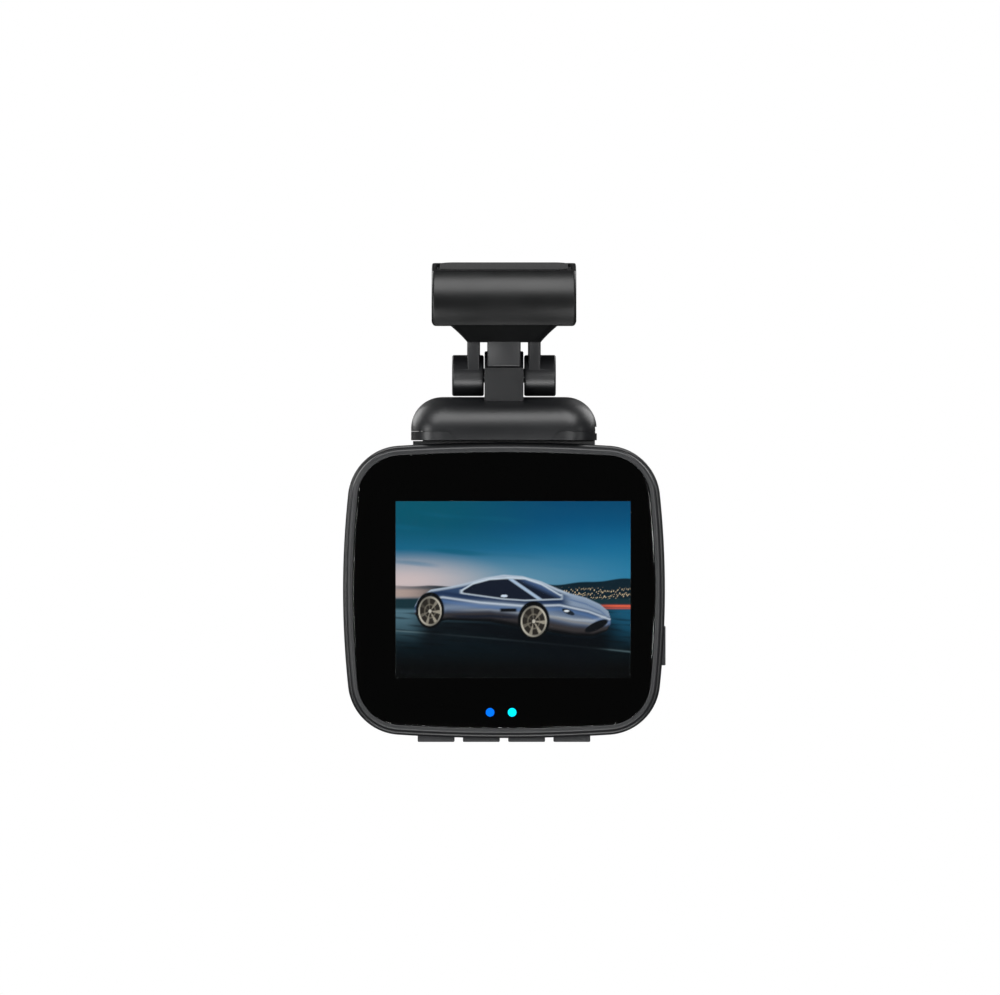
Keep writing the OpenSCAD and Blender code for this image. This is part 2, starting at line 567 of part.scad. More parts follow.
module lens_ring() color("#17181a") difference() {
    union() {
        rod_y(0, lens_z, lens_hole_r - 0.05, back_in, back_y);
        rod_y(0, lens_z, tube_r + 1.6, back_y, back_y + 1.6);
        rod_y(0, lens_z, tube_r, back_y + 1.6, back_y + tube_out);
    }
    rod_y(0, lens_z, lens_hole_r - 1.9, 0, back_y + tube_out + eps);
    rod_y(0, lens_z, lens_hole_r - 0.5, window_y, back_y + tube_out + eps);
}
module lens_window() color("#26303a") rod_y(0, lens_z, lens_hole_r - 0.6, window_y, window_y + 1);
module lens_barrel() color("#101012") difference() {
    union() {
        rod_y(0, lens_z, lens_bore_r - run, sensor_y + 3.2, sensor_y + 7);
        rod_y(0, lens_z, lens_bore_r + 2, sensor_y + 7, window_y - 1.4);
    }
    rod_y(0, lens_z, 3.4, 0, back_y + 20);
    rod_y(0, lens_z, 4.3, 0, sensor_y + 5.4);
    rod_y(0, lens_z, 6.7, window_y - 4.2, back_y + 20);
}
// A lens with one flat face at y0 and a domed one that reaches y1
module dome(r, ball, y0, y1) translate([0, y1, lens_z]) rotate([90, 0, 0]) rotate_extrude($fn = 96)
    polygon(concat([[0, y1 - y0], [0, 0]], [for (k = [1 : 8]) let (a = k*asin(r/ball)/8)
        [ball*sin(a), ball*(1 - cos(a))]], [[r, y1 - y0]]));
module front_lens() color("#3a2f55") dome(6.6, 9, window_y - 4.2, window_y - 0.7);
module rear_lens() color("#33405a") rod_y(0, lens_z, 4.2, sensor_y + 3.4, sensor_y + 5.4);
module lens_holder() color("#1a1a1a") difference() {
    chip(0, lens_z, 18, 18, sensor_y, sensor_y + 7);
    chip(0, lens_z, 12, 12, sensor_y - eps, sensor_y + 2);
    chip(0, lens_z, 7, 7, sensor_y, sensor_y + 3);
    rod_y(0, lens_z, lens_bore_r, sensor_y + 2.7, sensor_y + 7 + eps);
}
module ir_filter() color("#6fb0a0") chip(0, lens_z, 11.6, 11.6, sensor_y + 1.6, sensor_y + 2);
module image_sensor() color("#2f3a2f") chip(0, lens_z, 8, 6.6, sensor_y, sensor_y + 1.2);
module sensor_board() color("#17523a") chip(0, lens_z, 26, 26, sensor_y - 1, sensor_y);
module sensor_flex() color("#c98a2b")
    block([-4, parts_y, lens_z - 12.2], [4, sensor_y - 1, lens_z - 12]);

// Dock rail -----------------------------------------------------------------
rail_top = roof_z - channel_gap;
rail_step = channel_z + channel_gap;
module dock_rail() color("#161618") difference() {
    union() {
        block([0.4 - cradle_w/2, -rail_y - 0.3, body_top - 1.6], [cradle_w/2 - 0.4, rail_y + 0.3, cradle_bot - channel_gap]);
        block([2.4 - cradle_w/2, -rail_neck, body_top - 1.6], [cradle_w/2 - 0.4, rail_neck, rail_top]);
        block([2.4 - cradle_w/2, -rail_y, rail_step], [cradle_w/2 - 0.4, rail_y, rail_top]);
    }
    body_slab(0, -20, 20);
    for (x = [-1, 1]) {
        rod_z(x*rail_screw_x, 0, 1.05, body_top - 5, rail_top + eps);
        rod_z(x*rail_screw_x, 0, 1.9, rail_top - 1, rail_top + eps);
    }
}
module dock_contacts() color("#d4af37") for (k = [0 : pin_n - 1])
    block([pin_x(k) - 0.8, -1.5, rail_top], [pin_x(k) + 0.8, 1.5, rail_top + 0.1]);
module rail_screws() color("#777777") for (x = [-1, 1]) {
    rod_z(x*rail_screw_x, 0, 0.95, body_top - 5.5, rail_top - 1);
    rod_z(x*rail_screw_x, 0, 1.8, rail_top - 1, rail_top - 0.1);
}
module frame_screws() color("#777777") for (x = [-1, 1], z = [-1, 1]) {
    rod_y(x*frame_screw.x, body_cz + z*frame_screw.y, 0.9, frame_y, frame_y + 6);
    rod_y(x*frame_screw.x, body_cz + z*frame_screw.y, 1.8, frame_y - 0.9, frame_y);
}
module board_screws() color("#777777") for (x = [-1, 1], z = [-1, 1]) {
    rod_y(x*frame_post.x, body_cz + z*frame_post.y, 0.75, frame_y + 0.6, parts_y);
    rod_y(x*frame_post.x, body_cz + z*frame_post.y, 1.4, parts_y, parts_y + 0.8);
}

// Keys and card ----------------------------------------------------------
module bottom_key(k) color("#27282a") {
    block([key_x(k) - key_w/2, key_y - key_d/2, body_bot - key_out],
        [key_x(k) + key_w/2, key_y + key_d/2, key_flange_z + 0.2]);
    block([key_x(k) - key_w/2 - 0.6, key_y - key_d/2 - 0.6, key_flange_z],
        [key_x(k) + key_w/2 + 0.6, key_y + key_d/2 + 0.6, key_flange_z + key_flange_t]);
    block([key_x(k) - 1.2, key_y - 1.2, key_flange_z],
        [key_x(k) + 1.2, key_y + 1.2, switch_face - key_travel - 0.05]);
}
module menu_button() bottom_key(0);
module back_button() bottom_key(1);
module next_button() bottom_key(2);
module ok_button() bottom_key(3);
module power_button() color("#27282a") {
    block([side_flange_x, key_y - key_d/2, side_key_z - side_key_l/2],
        [side_x(11.6, 0) + side_key_out, key_y + key_d/2, side_key_z + side_key_l/2]);
    block([side_flange_x - side_flange_t, key_y - key_d/2 - 0.6, side_key_z - side_key_l/2 - 0.6],
        [side_flange_x, key_y + key_d/2 + 0.6, side_key_z + side_key_l/2 + 0.6]);
    block([side_switch_x + key_travel + 0.05, key_y - 1.2, side_key_z - 1.2],
        [side_flange_x - side_flange_t, key_y + 1.2, side_key_z + 1.2]);
}
module memory_card() color("#3a3d42")
    chip(card_x + card_l/2, card_z, card_l, card_w, card_y - card_t/2, card_y + card_t/2);

mount_head();
head_cap();
adhesive_pad();
hinge_screw();
hinge_nut();
wave_washer();
cradle_cover();
cradle_plate();
gps_antenna();
gps_board();
contact_pins();
cradle_screws();
main_housing();
screen_bezel();
screen_glass();
glass_mask();
glass_tape();
lcd_panel();
lcd_backlight();
lcd_flex();
mid_frame();
main_board();
processor();
memory_chip();
heat_pad();
heat_sink();
card_socket();
bottom_switches();
side_switch();
status_leds();
left_light_pipe();
right_light_pipe();
usb_socket();
microphone();
battery();
battery_tape();
speaker();
speaker_gasket();
wifi_antenna();
lens_ring();
lens_window();
lens_barrel();
front_lens();
rear_lens();
lens_holder();
ir_filter();
image_sensor();
sensor_board();
sensor_flex();
dock_rail();
dock_contacts();
rail_screws();
frame_screws();
board_screws();
menu_button();
back_button();
next_button();
ok_button();
power_button();
memory_card();
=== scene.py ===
# A windscreen dash camera, seen from the driver's side. Metres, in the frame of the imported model.
import json
import math

import bmesh
import bpy
import numpy as np
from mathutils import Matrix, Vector


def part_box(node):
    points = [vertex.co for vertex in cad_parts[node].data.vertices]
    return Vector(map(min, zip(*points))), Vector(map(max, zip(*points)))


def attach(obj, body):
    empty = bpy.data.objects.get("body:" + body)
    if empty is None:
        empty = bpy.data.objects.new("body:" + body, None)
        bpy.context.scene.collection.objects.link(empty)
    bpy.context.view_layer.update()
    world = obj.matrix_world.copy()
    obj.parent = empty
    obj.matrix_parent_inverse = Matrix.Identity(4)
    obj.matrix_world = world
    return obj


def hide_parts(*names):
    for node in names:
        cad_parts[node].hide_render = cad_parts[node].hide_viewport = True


mm = 0.001
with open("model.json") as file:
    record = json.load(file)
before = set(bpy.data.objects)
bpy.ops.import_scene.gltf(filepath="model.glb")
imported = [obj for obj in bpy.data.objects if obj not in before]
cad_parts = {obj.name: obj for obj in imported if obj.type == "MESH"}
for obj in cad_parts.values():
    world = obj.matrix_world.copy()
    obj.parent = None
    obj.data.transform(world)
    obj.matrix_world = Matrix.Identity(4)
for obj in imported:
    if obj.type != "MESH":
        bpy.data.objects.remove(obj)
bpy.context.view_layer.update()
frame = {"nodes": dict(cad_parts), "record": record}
nodes = frame["nodes"]
bodyOf = {n: b for b, names in frame["record"]["behaviour"]["bodies"].items() for n in names}
slotOf = {s["node"]: s["material_slot"] for s in frame["record"]["subparts"]}
pieces = {}
print("frame loaded:", len(nodes), "nodes")


def boxOf(node):
    # lowest and highest corner of a CAD node in millimetres
    lo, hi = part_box(node)
    return np.array(lo) / mm, np.array(hi) / mm


view = {"centreX": -0.83, "centreZ": -48.5, "distance": 4000.0, "width": 208.5, "sensor": 36.0,
        "farClip": 20.0}
screenY = boxOf("screen_bezel")[0][1]


def addCamera():
    # a long lens square to the screen: focal length = sensor width x distance / width seen
    data = bpy.data.cameras.new("studioCamera")
    data.sensor_width = view["sensor"]
    data.lens = view["sensor"] * view["distance"] / view["width"]
    data.clip_end = view["farClip"]
    cam = bpy.data.objects.new("studioCamera", data)
    bpy.context.scene.collection.objects.link(cam)
    cam.location = (view["centreX"] * mm, (screenY - view["distance"]) * mm, view["centreZ"] * mm)
    cam.rotation_euler = (math.pi / 2, 0, 0)
    bpy.context.scene.camera = cam


addCamera()
print("camera set")

# degrees between faces past which an edge is sharp, and the corners a face has to have to be shaded flat
shading = {"sharp": 35.0, "softSharp": 30.0, "flatFrom": 20}


def addPiece(name, verts, faces, body, replaced=(), slot=None):
    # verts in millimetres; normals are turned outwards on the closed shape
    mesh = bpy.data.meshes.new(name)
    mesh.from_pydata((np.asarray(verts) * mm).tolist(), [], faces)
    obj = bpy.data.objects.new(name, mesh)
    bpy.context.scene.collection.objects.link(obj)
    tidyMesh(mesh)
    smooth(mesh, shading["sharp"])
    return settle(obj, body, replaced, slot)


def tidyMesh(mesh, merge=1e-7):
    # corners closer than the merge distance become one, and the faces of the closed shape turn outwards
    bm = bmesh.new()
    bm.from_mesh(mesh)
    bmesh.ops.remove_doubles(bm, verts=bm.verts, dist=merge)
    bmesh.ops.recalc_face_normals(bm, faces=bm.faces)
    bm.to_mesh(mesh)
    bm.free()


def smooth(mesh, sharp):
    # smooth shading, except on the large flat end faces, which have many corners
    corners = np.zeros(len(mesh.polygons), np.int32)
    mesh.polygons.foreach_get("loop_total", corners)
    mesh.polygons.foreach_set("use_smooth", corners < shading["flatFrom"])
    mesh.set_sharp_from_angle(angle=math.radians(sharp))


def settle(obj, body, replaced=(), slot=None):
    # a shape with neither a slot nor a node is only a cutting tool, gone before the end
    if not (slot or replaced):
        return obj
    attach(obj, body)
    if replaced:
        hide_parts(*replaced)
    slotName = slot or slotOf[replaced[0]]
    pieces[obj.name] = (obj, slotName)
    return obj


def gridFaces(nU, nV, wrapU, capEnds):
    # quads between neighbouring rings, each ring closed on itself; end rings may be capped by one face
    u, v = np.meshgrid(np.arange(nU if wrapU else nU - 1), np.arange(nV), indexing="ij")
    u2, v2 = (u + 1) % nU, (v + 1) % nV
    quads = np.stack([u * nV + v, u2 * nV + v, u2 * nV + v2, u * nV + v2], -1).reshape(-1, 4).tolist()
    if capEnds:
        quads += [list(range(nV - 1, -1, -1)), list(range((nU - 1) * nV, nU * nV))]
    return quads


def loft(name, rings, body, replaced=(), closed=False, slot=None):
    # rings: (rings, points, 3); closed joins the last ring to the first, else both ends are capped
    rings = np.asarray(rings)
    faces = gridFaces(rings.shape[0], rings.shape[1], closed, not closed)
    return addPiece(name, rings.reshape(-1, 3), faces, body, replaced, slot)


def arc(cx, cz, r, a0, a1, n):
    # n points of a circle's arc, without the last: centre + r (cos a, sin a)
    a = np.radians(a0 + (a1 - a0) * np.arange(n) / n)
    return np.stack([cx + r * np.cos(a), cz + r * np.sin(a)], 1)


def roundRect(w, h, r, n=10):
    # four corner arcs joined by straight sides
    return np.concatenate([arc(sx * (w / 2 - r), sz * (h / 2 - r), r, a, a + 90, n)
                           for sx, sz, a in ((1, 1, 0), (-1, 1, 90), (-1, -1, 180), (1, -1, 270))])


def turned(name, profile, replaced, steps, closed):
    # a profile of [radius, y] points turned about the optical axis; closed ties its last point to its first
    r, y = np.asarray(profile, float).T
    a = 2 * np.pi * np.arange(steps) / steps
    rings = np.stack([r[:, None] * np.cos(a), np.repeat(y[:, None], steps, 1),
                      bodyShape["centreZ"] + r[:, None] * np.sin(a)], 2)
    return loft(name, rings, "camera", replaced, closed)


def extruded(name, outline, axis, lo, hi, edge, body, replaced=(), slot=None):
    # an outline pushed along an axis, its two ends shrunk by a quarter round of radius edge
    outline = np.asarray(outline, float)
    mid = (outline.max(0) + outline.min(0)) / 2
    half = (outline.max(0) - outline.min(0)) / 2
    turn = np.radians(np.linspace(0, 90, 5))
    inset = edge * (1 - np.sin(turn))
    run = edge * (1 - np.cos(turn))
    spots = np.concatenate([lo + run, hi - run[::-1]])
    shrink = np.concatenate([inset, inset[::-1]])
    rings = []
    for s, t in zip(spots, shrink):
        flat = mid + (outline - mid) * (1 - t / half)
        rings.append(np.insert(flat, axis, s, axis=1))
    return loft(name, rings, body, replaced, slot=slot)


def cut(obj, cutters, operation="DIFFERENCE"):
    # takes the cutters away from the shape, or joins them to it, and deletes them
    for cutter in cutters:
        m = obj.modifiers.new("cut", "BOOLEAN")
        m.object = cutter
        m.operation = operation
        m.solver = "EXACT"
    bakeModifiers(obj)
    smooth(obj.data, shading["sharp"])
    for cutter in cutters:
        bpy.data.objects.remove(cutter)


def bakeModifiers(obj):
    # what the modifiers make becomes the mesh itself
    deps = bpy.context.evaluated_depsgraph_get()
    deps.update()
    done = bpy.data.meshes.new_from_object(obj.evaluated_get(deps))
    obj.modifiers.clear()
    obj.data = done


def refined(node, edge, segments):
    # a merged copy of a CAD node, its level faces joined, with a bevel wherever faces meet sharply
    obj = bpy.data.objects.new("soft_" + node, nodes[node].data.copy())
    obj.data.materials.clear()
    bpy.context.scene.collection.objects.link(obj)
    bm = bmesh.new()
    bm.from_mesh(obj.data)
    bmesh.ops.remove_doubles(bm, verts=bm.verts, dist=rounding["weld"])
    bmesh.ops.dissolve_limit(bm, angle_limit=math.radians(rounding["level"]), verts=bm.verts, edges=bm.edges)
    bm.to_mesh(obj.data)
    bm.free()
    m = obj.modifiers.new("edge", "BEVEL")
    m.width = edge * mm
    m.segments = segments
    m.limit_method = "ANGLE"
    m.angle_limit = math.radians(shading["softSharp"])
    bakeModifiers(obj)
    smooth(obj.data, shading["softSharp"])
    # the wide faces keep their own shading beside the narrow bevels
    m = obj.modifiers.new("even", "WEIGHTED_NORMAL")
    m.keep_sharp = True
    bakeModifiers(obj)
    return settle(obj, bodyOf[node], (node,))


# the outline shared by housing, bezel and glass
bodyShape = {"width": 67.2, "height": 61.7, "corner": 11.2, "sideBow": 190.0, "topBow": 350.0,
             "centreZ": -67.85, "bottom": -98.7, "top": -37.0, "seam": -10.4, "back": 13.0, "wall": 1.8,
             "frontEdge": 0.7, "lensEdge": 6.0}


def cornerCentre(shape):
    # where one corner arc touches both bowed sides: each coordinate solved from the other, a few times over
    r, rs, rt = shape["corner"], shape["sideBow"], shape["topBow"]
    cx, cz = shape["width"] / 2 - r, shape["height"] / 2 - r
    for _ in range(8):
        cx, cz = (shape["width"] / 2 - rs + math.sqrt((rs - r) ** 2 - cz ** 2),
                  shape["height"] / 2 - rt + math.sqrt((rt - r) ** 2 - cx ** 2))
    return cx, cz


cornerX, cornerZ = cornerCentre(bodyShape)
sideAngle = math.degrees(math.asin(cornerZ / (bodyShape["sideBow"] - bodyShape["corner"])))
topAngle = math.degrees(math.asin(cornerX / (bodyShape["topBow"] - bodyShape["corner"])))


def bodyOutline(inset, nSide=16, nCorner=18):
    # eight tangent arcs, every radius smaller by the inset, in X and Z
    s = bodyShape
    side, top, corner = s["sideBow"] - inset, s["topBow"] - inset, s["corner"] - inset
    sx, tz = s["width"] / 2 - s["sideBow"], s["height"] / 2 - s["topBow"]
    a, b = sideAngle, topAngle
    parts = [arc(sx, 0, side, -a, a, nSide),
             arc(cornerX, cornerZ, corner, a, 90 - b, nCorner),
             arc(0, tz, top, 90 - b, 90 + b, nSide),
             arc(-cornerX, cornerZ, corner, 90 + b, 180 - a, nCorner),
             arc(-sx, 0, side, 180 - a, 180 + a, nSide),
             arc(-cornerX, -cornerZ, corner, 180 + a, 270 - b, nCorner),
             arc(0, -tz, top, 270 - b, 270 + b, nSide),
             arc(cornerX, -cornerZ, corner, 270 + b, 360 - a, nCorner)]
    return np.concatenate(parts) + [0, s["centreZ"]]


def outlineRings(insets, ys):
    # one ring of the outline for each inset, standing at its own depth y
    return np.stack([np.insert(bodyOutline(t), 1, y, axis=1) for t, y in zip(insets, ys)])


def quarter(n):
    # n angles from nought to a right angle
    return np.radians(np.linspace(0, 90, n))


def blockCutter(lo, hi, edge=0.0):
    # a box as an extruded rounded rectangle along Y
    lo, hi = np.minimum(lo, hi), np.maximum(lo, hi)
    w, h = hi[0] - lo[0], hi[2] - lo[2]
    flat = roundRect(w, h, edge or 0.02, 6) + [(lo[0] + hi[0]) / 2, (lo[2] + hi[2]) / 2]
    rings = np.stack([np.insert(flat, 1, y, axis=1) for y in (lo[1], hi[1])])
    return loft("cutter", rings, "camera")


def rodCutter(start, end, radius, steps=48):
    # a straight round bar between two points
    start, end = np.asarray(start, float), np.asarray(end, float)
    along = (end - start) / np.linalg.norm(end - start)
    side = np.cross(along, [0, 0, 1.0] if abs(along[2]) < 0.9 else [1.0, 0, 0])
    side /= np.linalg.norm(side)
    up = np.cross(along, side)
    a = 2 * np.pi * np.arange(steps)[:, None] / steps
    ring = radius * (np.cos(a) * side + np.sin(a) * up)
    return loft("cutter", np.stack([start + ring, end + ring]), "camera")


# the housing's holes: key, card, socket, speaker, microphone and rail screw sizes, in millimetres
openings = {"lensR": 10.5, "lensY": (8, 14), "keys": 4, "keyPitch": 9.45, "keyW": 8.0, "keyD": 4.9,
            "keyY": -4.3, "keyUp": 3.2, "sideKeyX": (30, 36), "sideKeyZ": -79.45, "sideKeyL": 8.5,
            "cardX": (-36, -31), "cardY": -4.7, "cardZ": -61.95, "cardHalfT": 0.85, "cardHalfW": 5.9,
            "thumbX": -35.2, "thumbHalf": 3, "thumbR": 3.2, "usbX": (29.5, 36), "usbY": -4.17,
            "usbZ": -57.95, "usbW": 8.94, "usbH": 3.26, "usbGap": 0.2, "slotY": (10, 14), "slotX": 16.8,
            "slotZ": -85.15, "slotPitch": 2.2, "slotLength": 10, "slotWidth": 1.1, "slotRound": 0.54,
            "micY": -5.2, "micUp": 3, "micR": 0.4, "railX": 12.0, "railDown": 3, "railR": 1.0, "past": 1}


def housingSkin(inset, front):
    # a quarter round of the small radius at the front, one of the large radius on the lens side, flat between
    s = bodyShape
    a = quarter(6)
    b = quarter(16)
    f, l = s["frontEdge"], s["lensEdge"] - inset
    insets = np.concatenate([[f + inset], inset + f * (1 - np.sin(a[1:])), inset + l * (1 - np.cos(b))])
    ys = np.concatenate([[front], s["seam"] + f * (1 - np.cos(a[1:])),
                         s["back"] - s["lensEdge"] + l * np.sin(b)])
    return outlineRings(insets, ys)


def buildHousing():
    # the outer skin less the same skin one wall inside it, then every hole cut by its own rod or block
    s, o = bodyShape, openings
    shell = loft("cameraHousing", housingSkin(0, s["seam"]), "camera", ("main_housing",))
    hollow = loft("cutter", housingSkin(s["wall"], s["seam"] - o["past"]), "camera")
    cut(shell, [hollow])
    below, above = s["bottom"] - o["past"], s["top"] + o["past"]
    tools = [rodCutter([0, o["lensY"][0], s["centreZ"]], [0, o["lensY"][1], s["centreZ"]], o["lensR"], 96)]
    keyLow, keyHigh = o["keyY"] - o["keyD"] / 2, o["keyY"] + o["keyD"] / 2
    for k in range(o["keys"]):
        x = (k - (o["keys"] - 1) / 2) * o["keyPitch"]
        tools.append(blockCutter([x - o["keyW"] / 2, keyLow, below],
                                 [x + o["keyW"] / 2, keyHigh, s["bottom"] + o["keyUp"]]))
    tools.append(blockCutter([o["sideKeyX"][0], keyLow, o["sideKeyZ"] - o["sideKeyL"] / 2],
                             [o["sideKeyX"][1], keyHigh, o["sideKeyZ"] + o["sideKeyL"] / 2]))
    tools.append(blockCutter([o["cardX"][0], o["cardY"] - o["cardHalfT"], o["cardZ"] - o["cardHalfW"]],
                             [o["cardX"][1], o["cardY"] + o["cardHalfT"], o["cardZ"] + o["cardHalfW"]]))
    tools.append(rodCutter([o["thumbX"], o["cardY"], o["cardZ"] - o["thumbHalf"]],
                           [o["thumbX"], o["cardY"], o["cardZ"] + o["thumbHalf"]], o["thumbR"]))
    r = o["usbH"] / 2 + o["usbGap"]
    half = (o["usbW"] - o["usbH"]) / 2
    usb = np.concatenate([arc(o["usbY"], o["usbZ"] + half, r, 0, 180, 16),
                          arc(o["usbY"], o["usbZ"] - half, r, 180, 360, 16)])
    tools.append(loft("cutter", np.stack([np.insert(usb, 0, x, axis=1) for x in o["usbX"]]), "camera"))
    for k in range(-2, 3):
        # five slots, the middle one longest
        middle = [o["slotX"], o["slotZ"] + o["slotPitch"] * k]
        bar = roundRect(o["slotLength"] - abs(k), o["slotWidth"], o["slotRound"], 6) + middle
        tools.append(loft("cutter", np.stack([np.insert(bar, 1, y, axis=1) for y in o["slotY"]]), "camera"))
    tools.append(rodCutter([0, o["micY"], below], [0, o["micY"], s["bottom"] + o["micUp"]], o["micR"], 24))
    for x in (-o["railX"], o["railX"]):
        tools.append(rodCutter([x, 0, s["top"] - o["railDown"]], [x, 0, above], o["railR"], 32))
    cut(shell, tools)


buildHousing()
print("housing done")

# inset from the outline and depth of each step of the frame round the screen
bezel = {"front": -13.0, "outer": 0.7, "roll": 0.7, "rollDepth": 1.0, "inner": 2.0, "innerRoll": 0.15,
         "web": -11.3, "lip": 3.0, "rim": 1.9, "rimEnd": -9.2, "webInset": 2.6, "panelGap": 0.25,
         "pipeR": 1.05, "cutY": (-12, -10)}


def buildBezel():
    # the section of the frame, as inset and depth, carried round the outline
    b, s = bezel, bodyShape
    a = quarter(9)
    face = np.stack([b["outer"] + b["roll"] * (1 - np.cos(a)),
                     b["front"] + b["rollDepth"] * (1 - np.sin(a))], 1)
    lip = np.stack([b["inner"] - b["innerRoll"] + b["innerRoll"] * np.sin(a[::2]),
                    b["front"] + b["innerRoll"] * (1 - np.cos(a[::2]))], 1)
    inside = [[b["inner"], b["web"]], [b["lip"], b["web"]], [b["lip"], b["rimEnd"]], [b["rim"], b["rimEnd"]],
              [b["rim"], s["seam"]]]
    section = np.concatenate([[[b["outer"], s["seam"]]], face, lip, inside])
    loft("screenBezel", outlineRings(section[:, 0], section[:, 1]), "camera", ("screen_bezel",), closed=True)
    webRings = outlineRings([b["webInset"], b["webInset"]], [b["web"], s["seam"]])
    web = loft("bezelWeb", webRings, "camera", slot="bezel_black")
    low, high = boxOf("lcd_panel")
    gap, (near, far) = b["panelGap"], b["cutY"]
    tools = [blockCutter([low[0] - gap, near, low[2] - gap], [high[0] + gap, far, high[2] + gap])]
    for pipe in ("left_light_pipe", "right_light_pipe"):
        x, y, z = sum(boxOf(pipe)) / 2
        tools.append(rodCutter([x, near, z], [x, far, z], b["pipeR"], 32))
    cut(web, tools)


glass = {"inset": 2.1, "front": -12.8, "back": -11.8, "polish": 0.18, "border": 0.6}


def buildGlass():
    # a plate of the outline with both rims ground round
    g = glass
    a = quarter(6)
    insets = g["inset"] + g["polish"] * (1 - np.sin(a))
    run = g["polish"] * (1 - np.cos(a))
    # one more ring lies inside each flat face, so the round edge never bends its shading
    insets = np.concatenate([[g["inset"] + g["border"]], insets, insets[::-1], [g["inset"] + g["border"]]])
    depths = np.concatenate([[g["front"]], g["front"] + run, g["back"] - run[::-1], [g["back"]]])
    loft("coverGlass", outlineRings(insets, depths), "camera", ("screen_glass",))


picture = {"centreX": 1.9, "raised": 0.2, "width": 48.96, "height": 36.72, "depth": -11.74, "columns": 306,
           "rows": 230}


def step(edge0, edge1, v):
    # a soft ramp from 0 to 1 between two edges: 3 t squared less 2 t cubed
    t = np.clip((v - edge0) / (edge1 - edge0), 0, 1)
    return t * t * (3 - 2 * t)


def mixIn(under, colour, amount):
    # under + (colour - under) x amount, at every point
    over = np.array(srgb(colour)[:3])
    return under + (over - under) * np.clip(amount, 0, 1)[..., None]


def band(v, points):
    # a line through [position, height] points
    p = np.asarray(points, float)
    return np.interp(v, p[:, 0], p[:, 1])


def wobble(x, y, seeds):
    # a sum of sine waves, each with its own direction, pace and start
    total = np.zeros_like(x)
    for kx, ky, shift, gain in seeds:
        total += gain * np.sin(kx * x + ky * y + shift)
    return total


def softBand(value, low, high, blur):
    # 1 between two levels, falling to 0 over the blur on either side
    return step(low - blur, low + blur, value) * (1 - step(high - blur, high + blur, value))


def duskScene(x, y):
    # x and y run 0 to 1 over the picture, y upwards; the dusk sky, hills, lights and wet road
    sky = np.zeros(x.shape + (3,))
    sky = mixIn(sky, "#014B73", np.ones_like(x))
    sky = mixIn(sky, "#03586E", step(0.75, 0.1, x) * step(0.55, 0.95, y))
    sky = mixIn(sky, "#02608F", step(0.2, 0.9, x) * step(1.02, 0.7, y))
    sky = mixIn(sky, "#2A86AC", step(0.90, 0.55, y) * 0.75)
    sky = mixIn(sky, "#7FA3B6", step(0.74, 0.54, y) * step(1.15, 0.25, x) * 0.75)
    sky = mixIn(sky, "#D8C4C4", step(0.33, 0.0, np.hypot((x - 0.02) * 0.60, (y - 0.545) * 1.75)))
    streak = wobble(x, y, ((9, 60, 0.4, 0.5), (5, 95, 1.9, 0.3), (23, 41, 4.0, 0.2)))
    highCloud = step(0.25, 0.9, streak) * step(0.9, 0.1, x) * softBand(y, 0.66, 0.96, 0.06)
    sky = mixIn(sky, "#0A5F7C", highCloud * 0.8)
    sky = mixIn(sky, "#2F7FA8", step(0.3, 0.9, streak) * softBand(y, 0.58, 0.66, 0.03) * 0.4)
    hill = 0.545 + wobble(x, y * 0, ((14, 0, 1.0, 0.008), (31, 0, 2.6, 0.005), (7, 0, 0.2, 0.008)))
    hill -= 0.035 * step(0.45, 0.15, x)
    scene = mixIn(sky, "#0A222E", step(hill + 0.004, hill - 0.004, y) * step(0.0, 0.5, x + 0.25))
    twinkle = np.sin(x * 611 + np.sin(y * 347) * 3) * np.sin(y * 523 + np.sin(x * 289) * 3)
    town = step(0.55, 0.9, twinkle) * softBand(y, 0.44, 0.505, 0.012) * step(0.5, 0.72, x)
    scene = mixIn(scene, "#FFE2B8", town * 0.9)
    scene = mixIn(scene, "#BFA59A", softBand(y, 0.455, 0.50, 0.01) * step(0.22, 0.02, x) * 0.8)
    scene = mixIn(scene, "#16323B", step(0.455, 0.44, y))
    trail = np.exp(-((y - 0.415 + 0.010 * x) / 0.006) ** 2) + 0.8 * np.exp(-((y - 0.392) / 0.004) ** 2)
    scene = mixIn(scene, "#FF6A4A", trail * step(0.80, 0.95, x))
    road = step(0.40, 0.375, y)
    wet = mixIn(np.zeros(x.shape + (3,)), "#06202A", np.ones_like(x))
    wet = mixIn(wet, "#5F8393", step(0.16, 0.40, y) * step(0.55, 0.0, x) * 0.8)
    wet = mixIn(wet, "#1A5F80", step(0.14, 0.40, y) * step(0.80, 1.0, x) * 0.85)
    ripple = wobble(x, y, ((21, 190, 0.3, 0.5), (47, 90, 2.2, 0.3), (11, 260, 1.1, 0.3)))
    wet = mixIn(wet, "#03090D", step(0.0, 0.9, ripple) * 0.55)
    wet = mixIn(wet, "#000102", step(0.30, 0.04, y))
    lane = np.exp(-((y - 0.265 + 0.10 * x + 0.02 * x * x) / 0.004) ** 2)
    wet = mixIn(wet, "#7D979E", lane * 0.4)
    return scene + (wet - scene) * road[..., None]


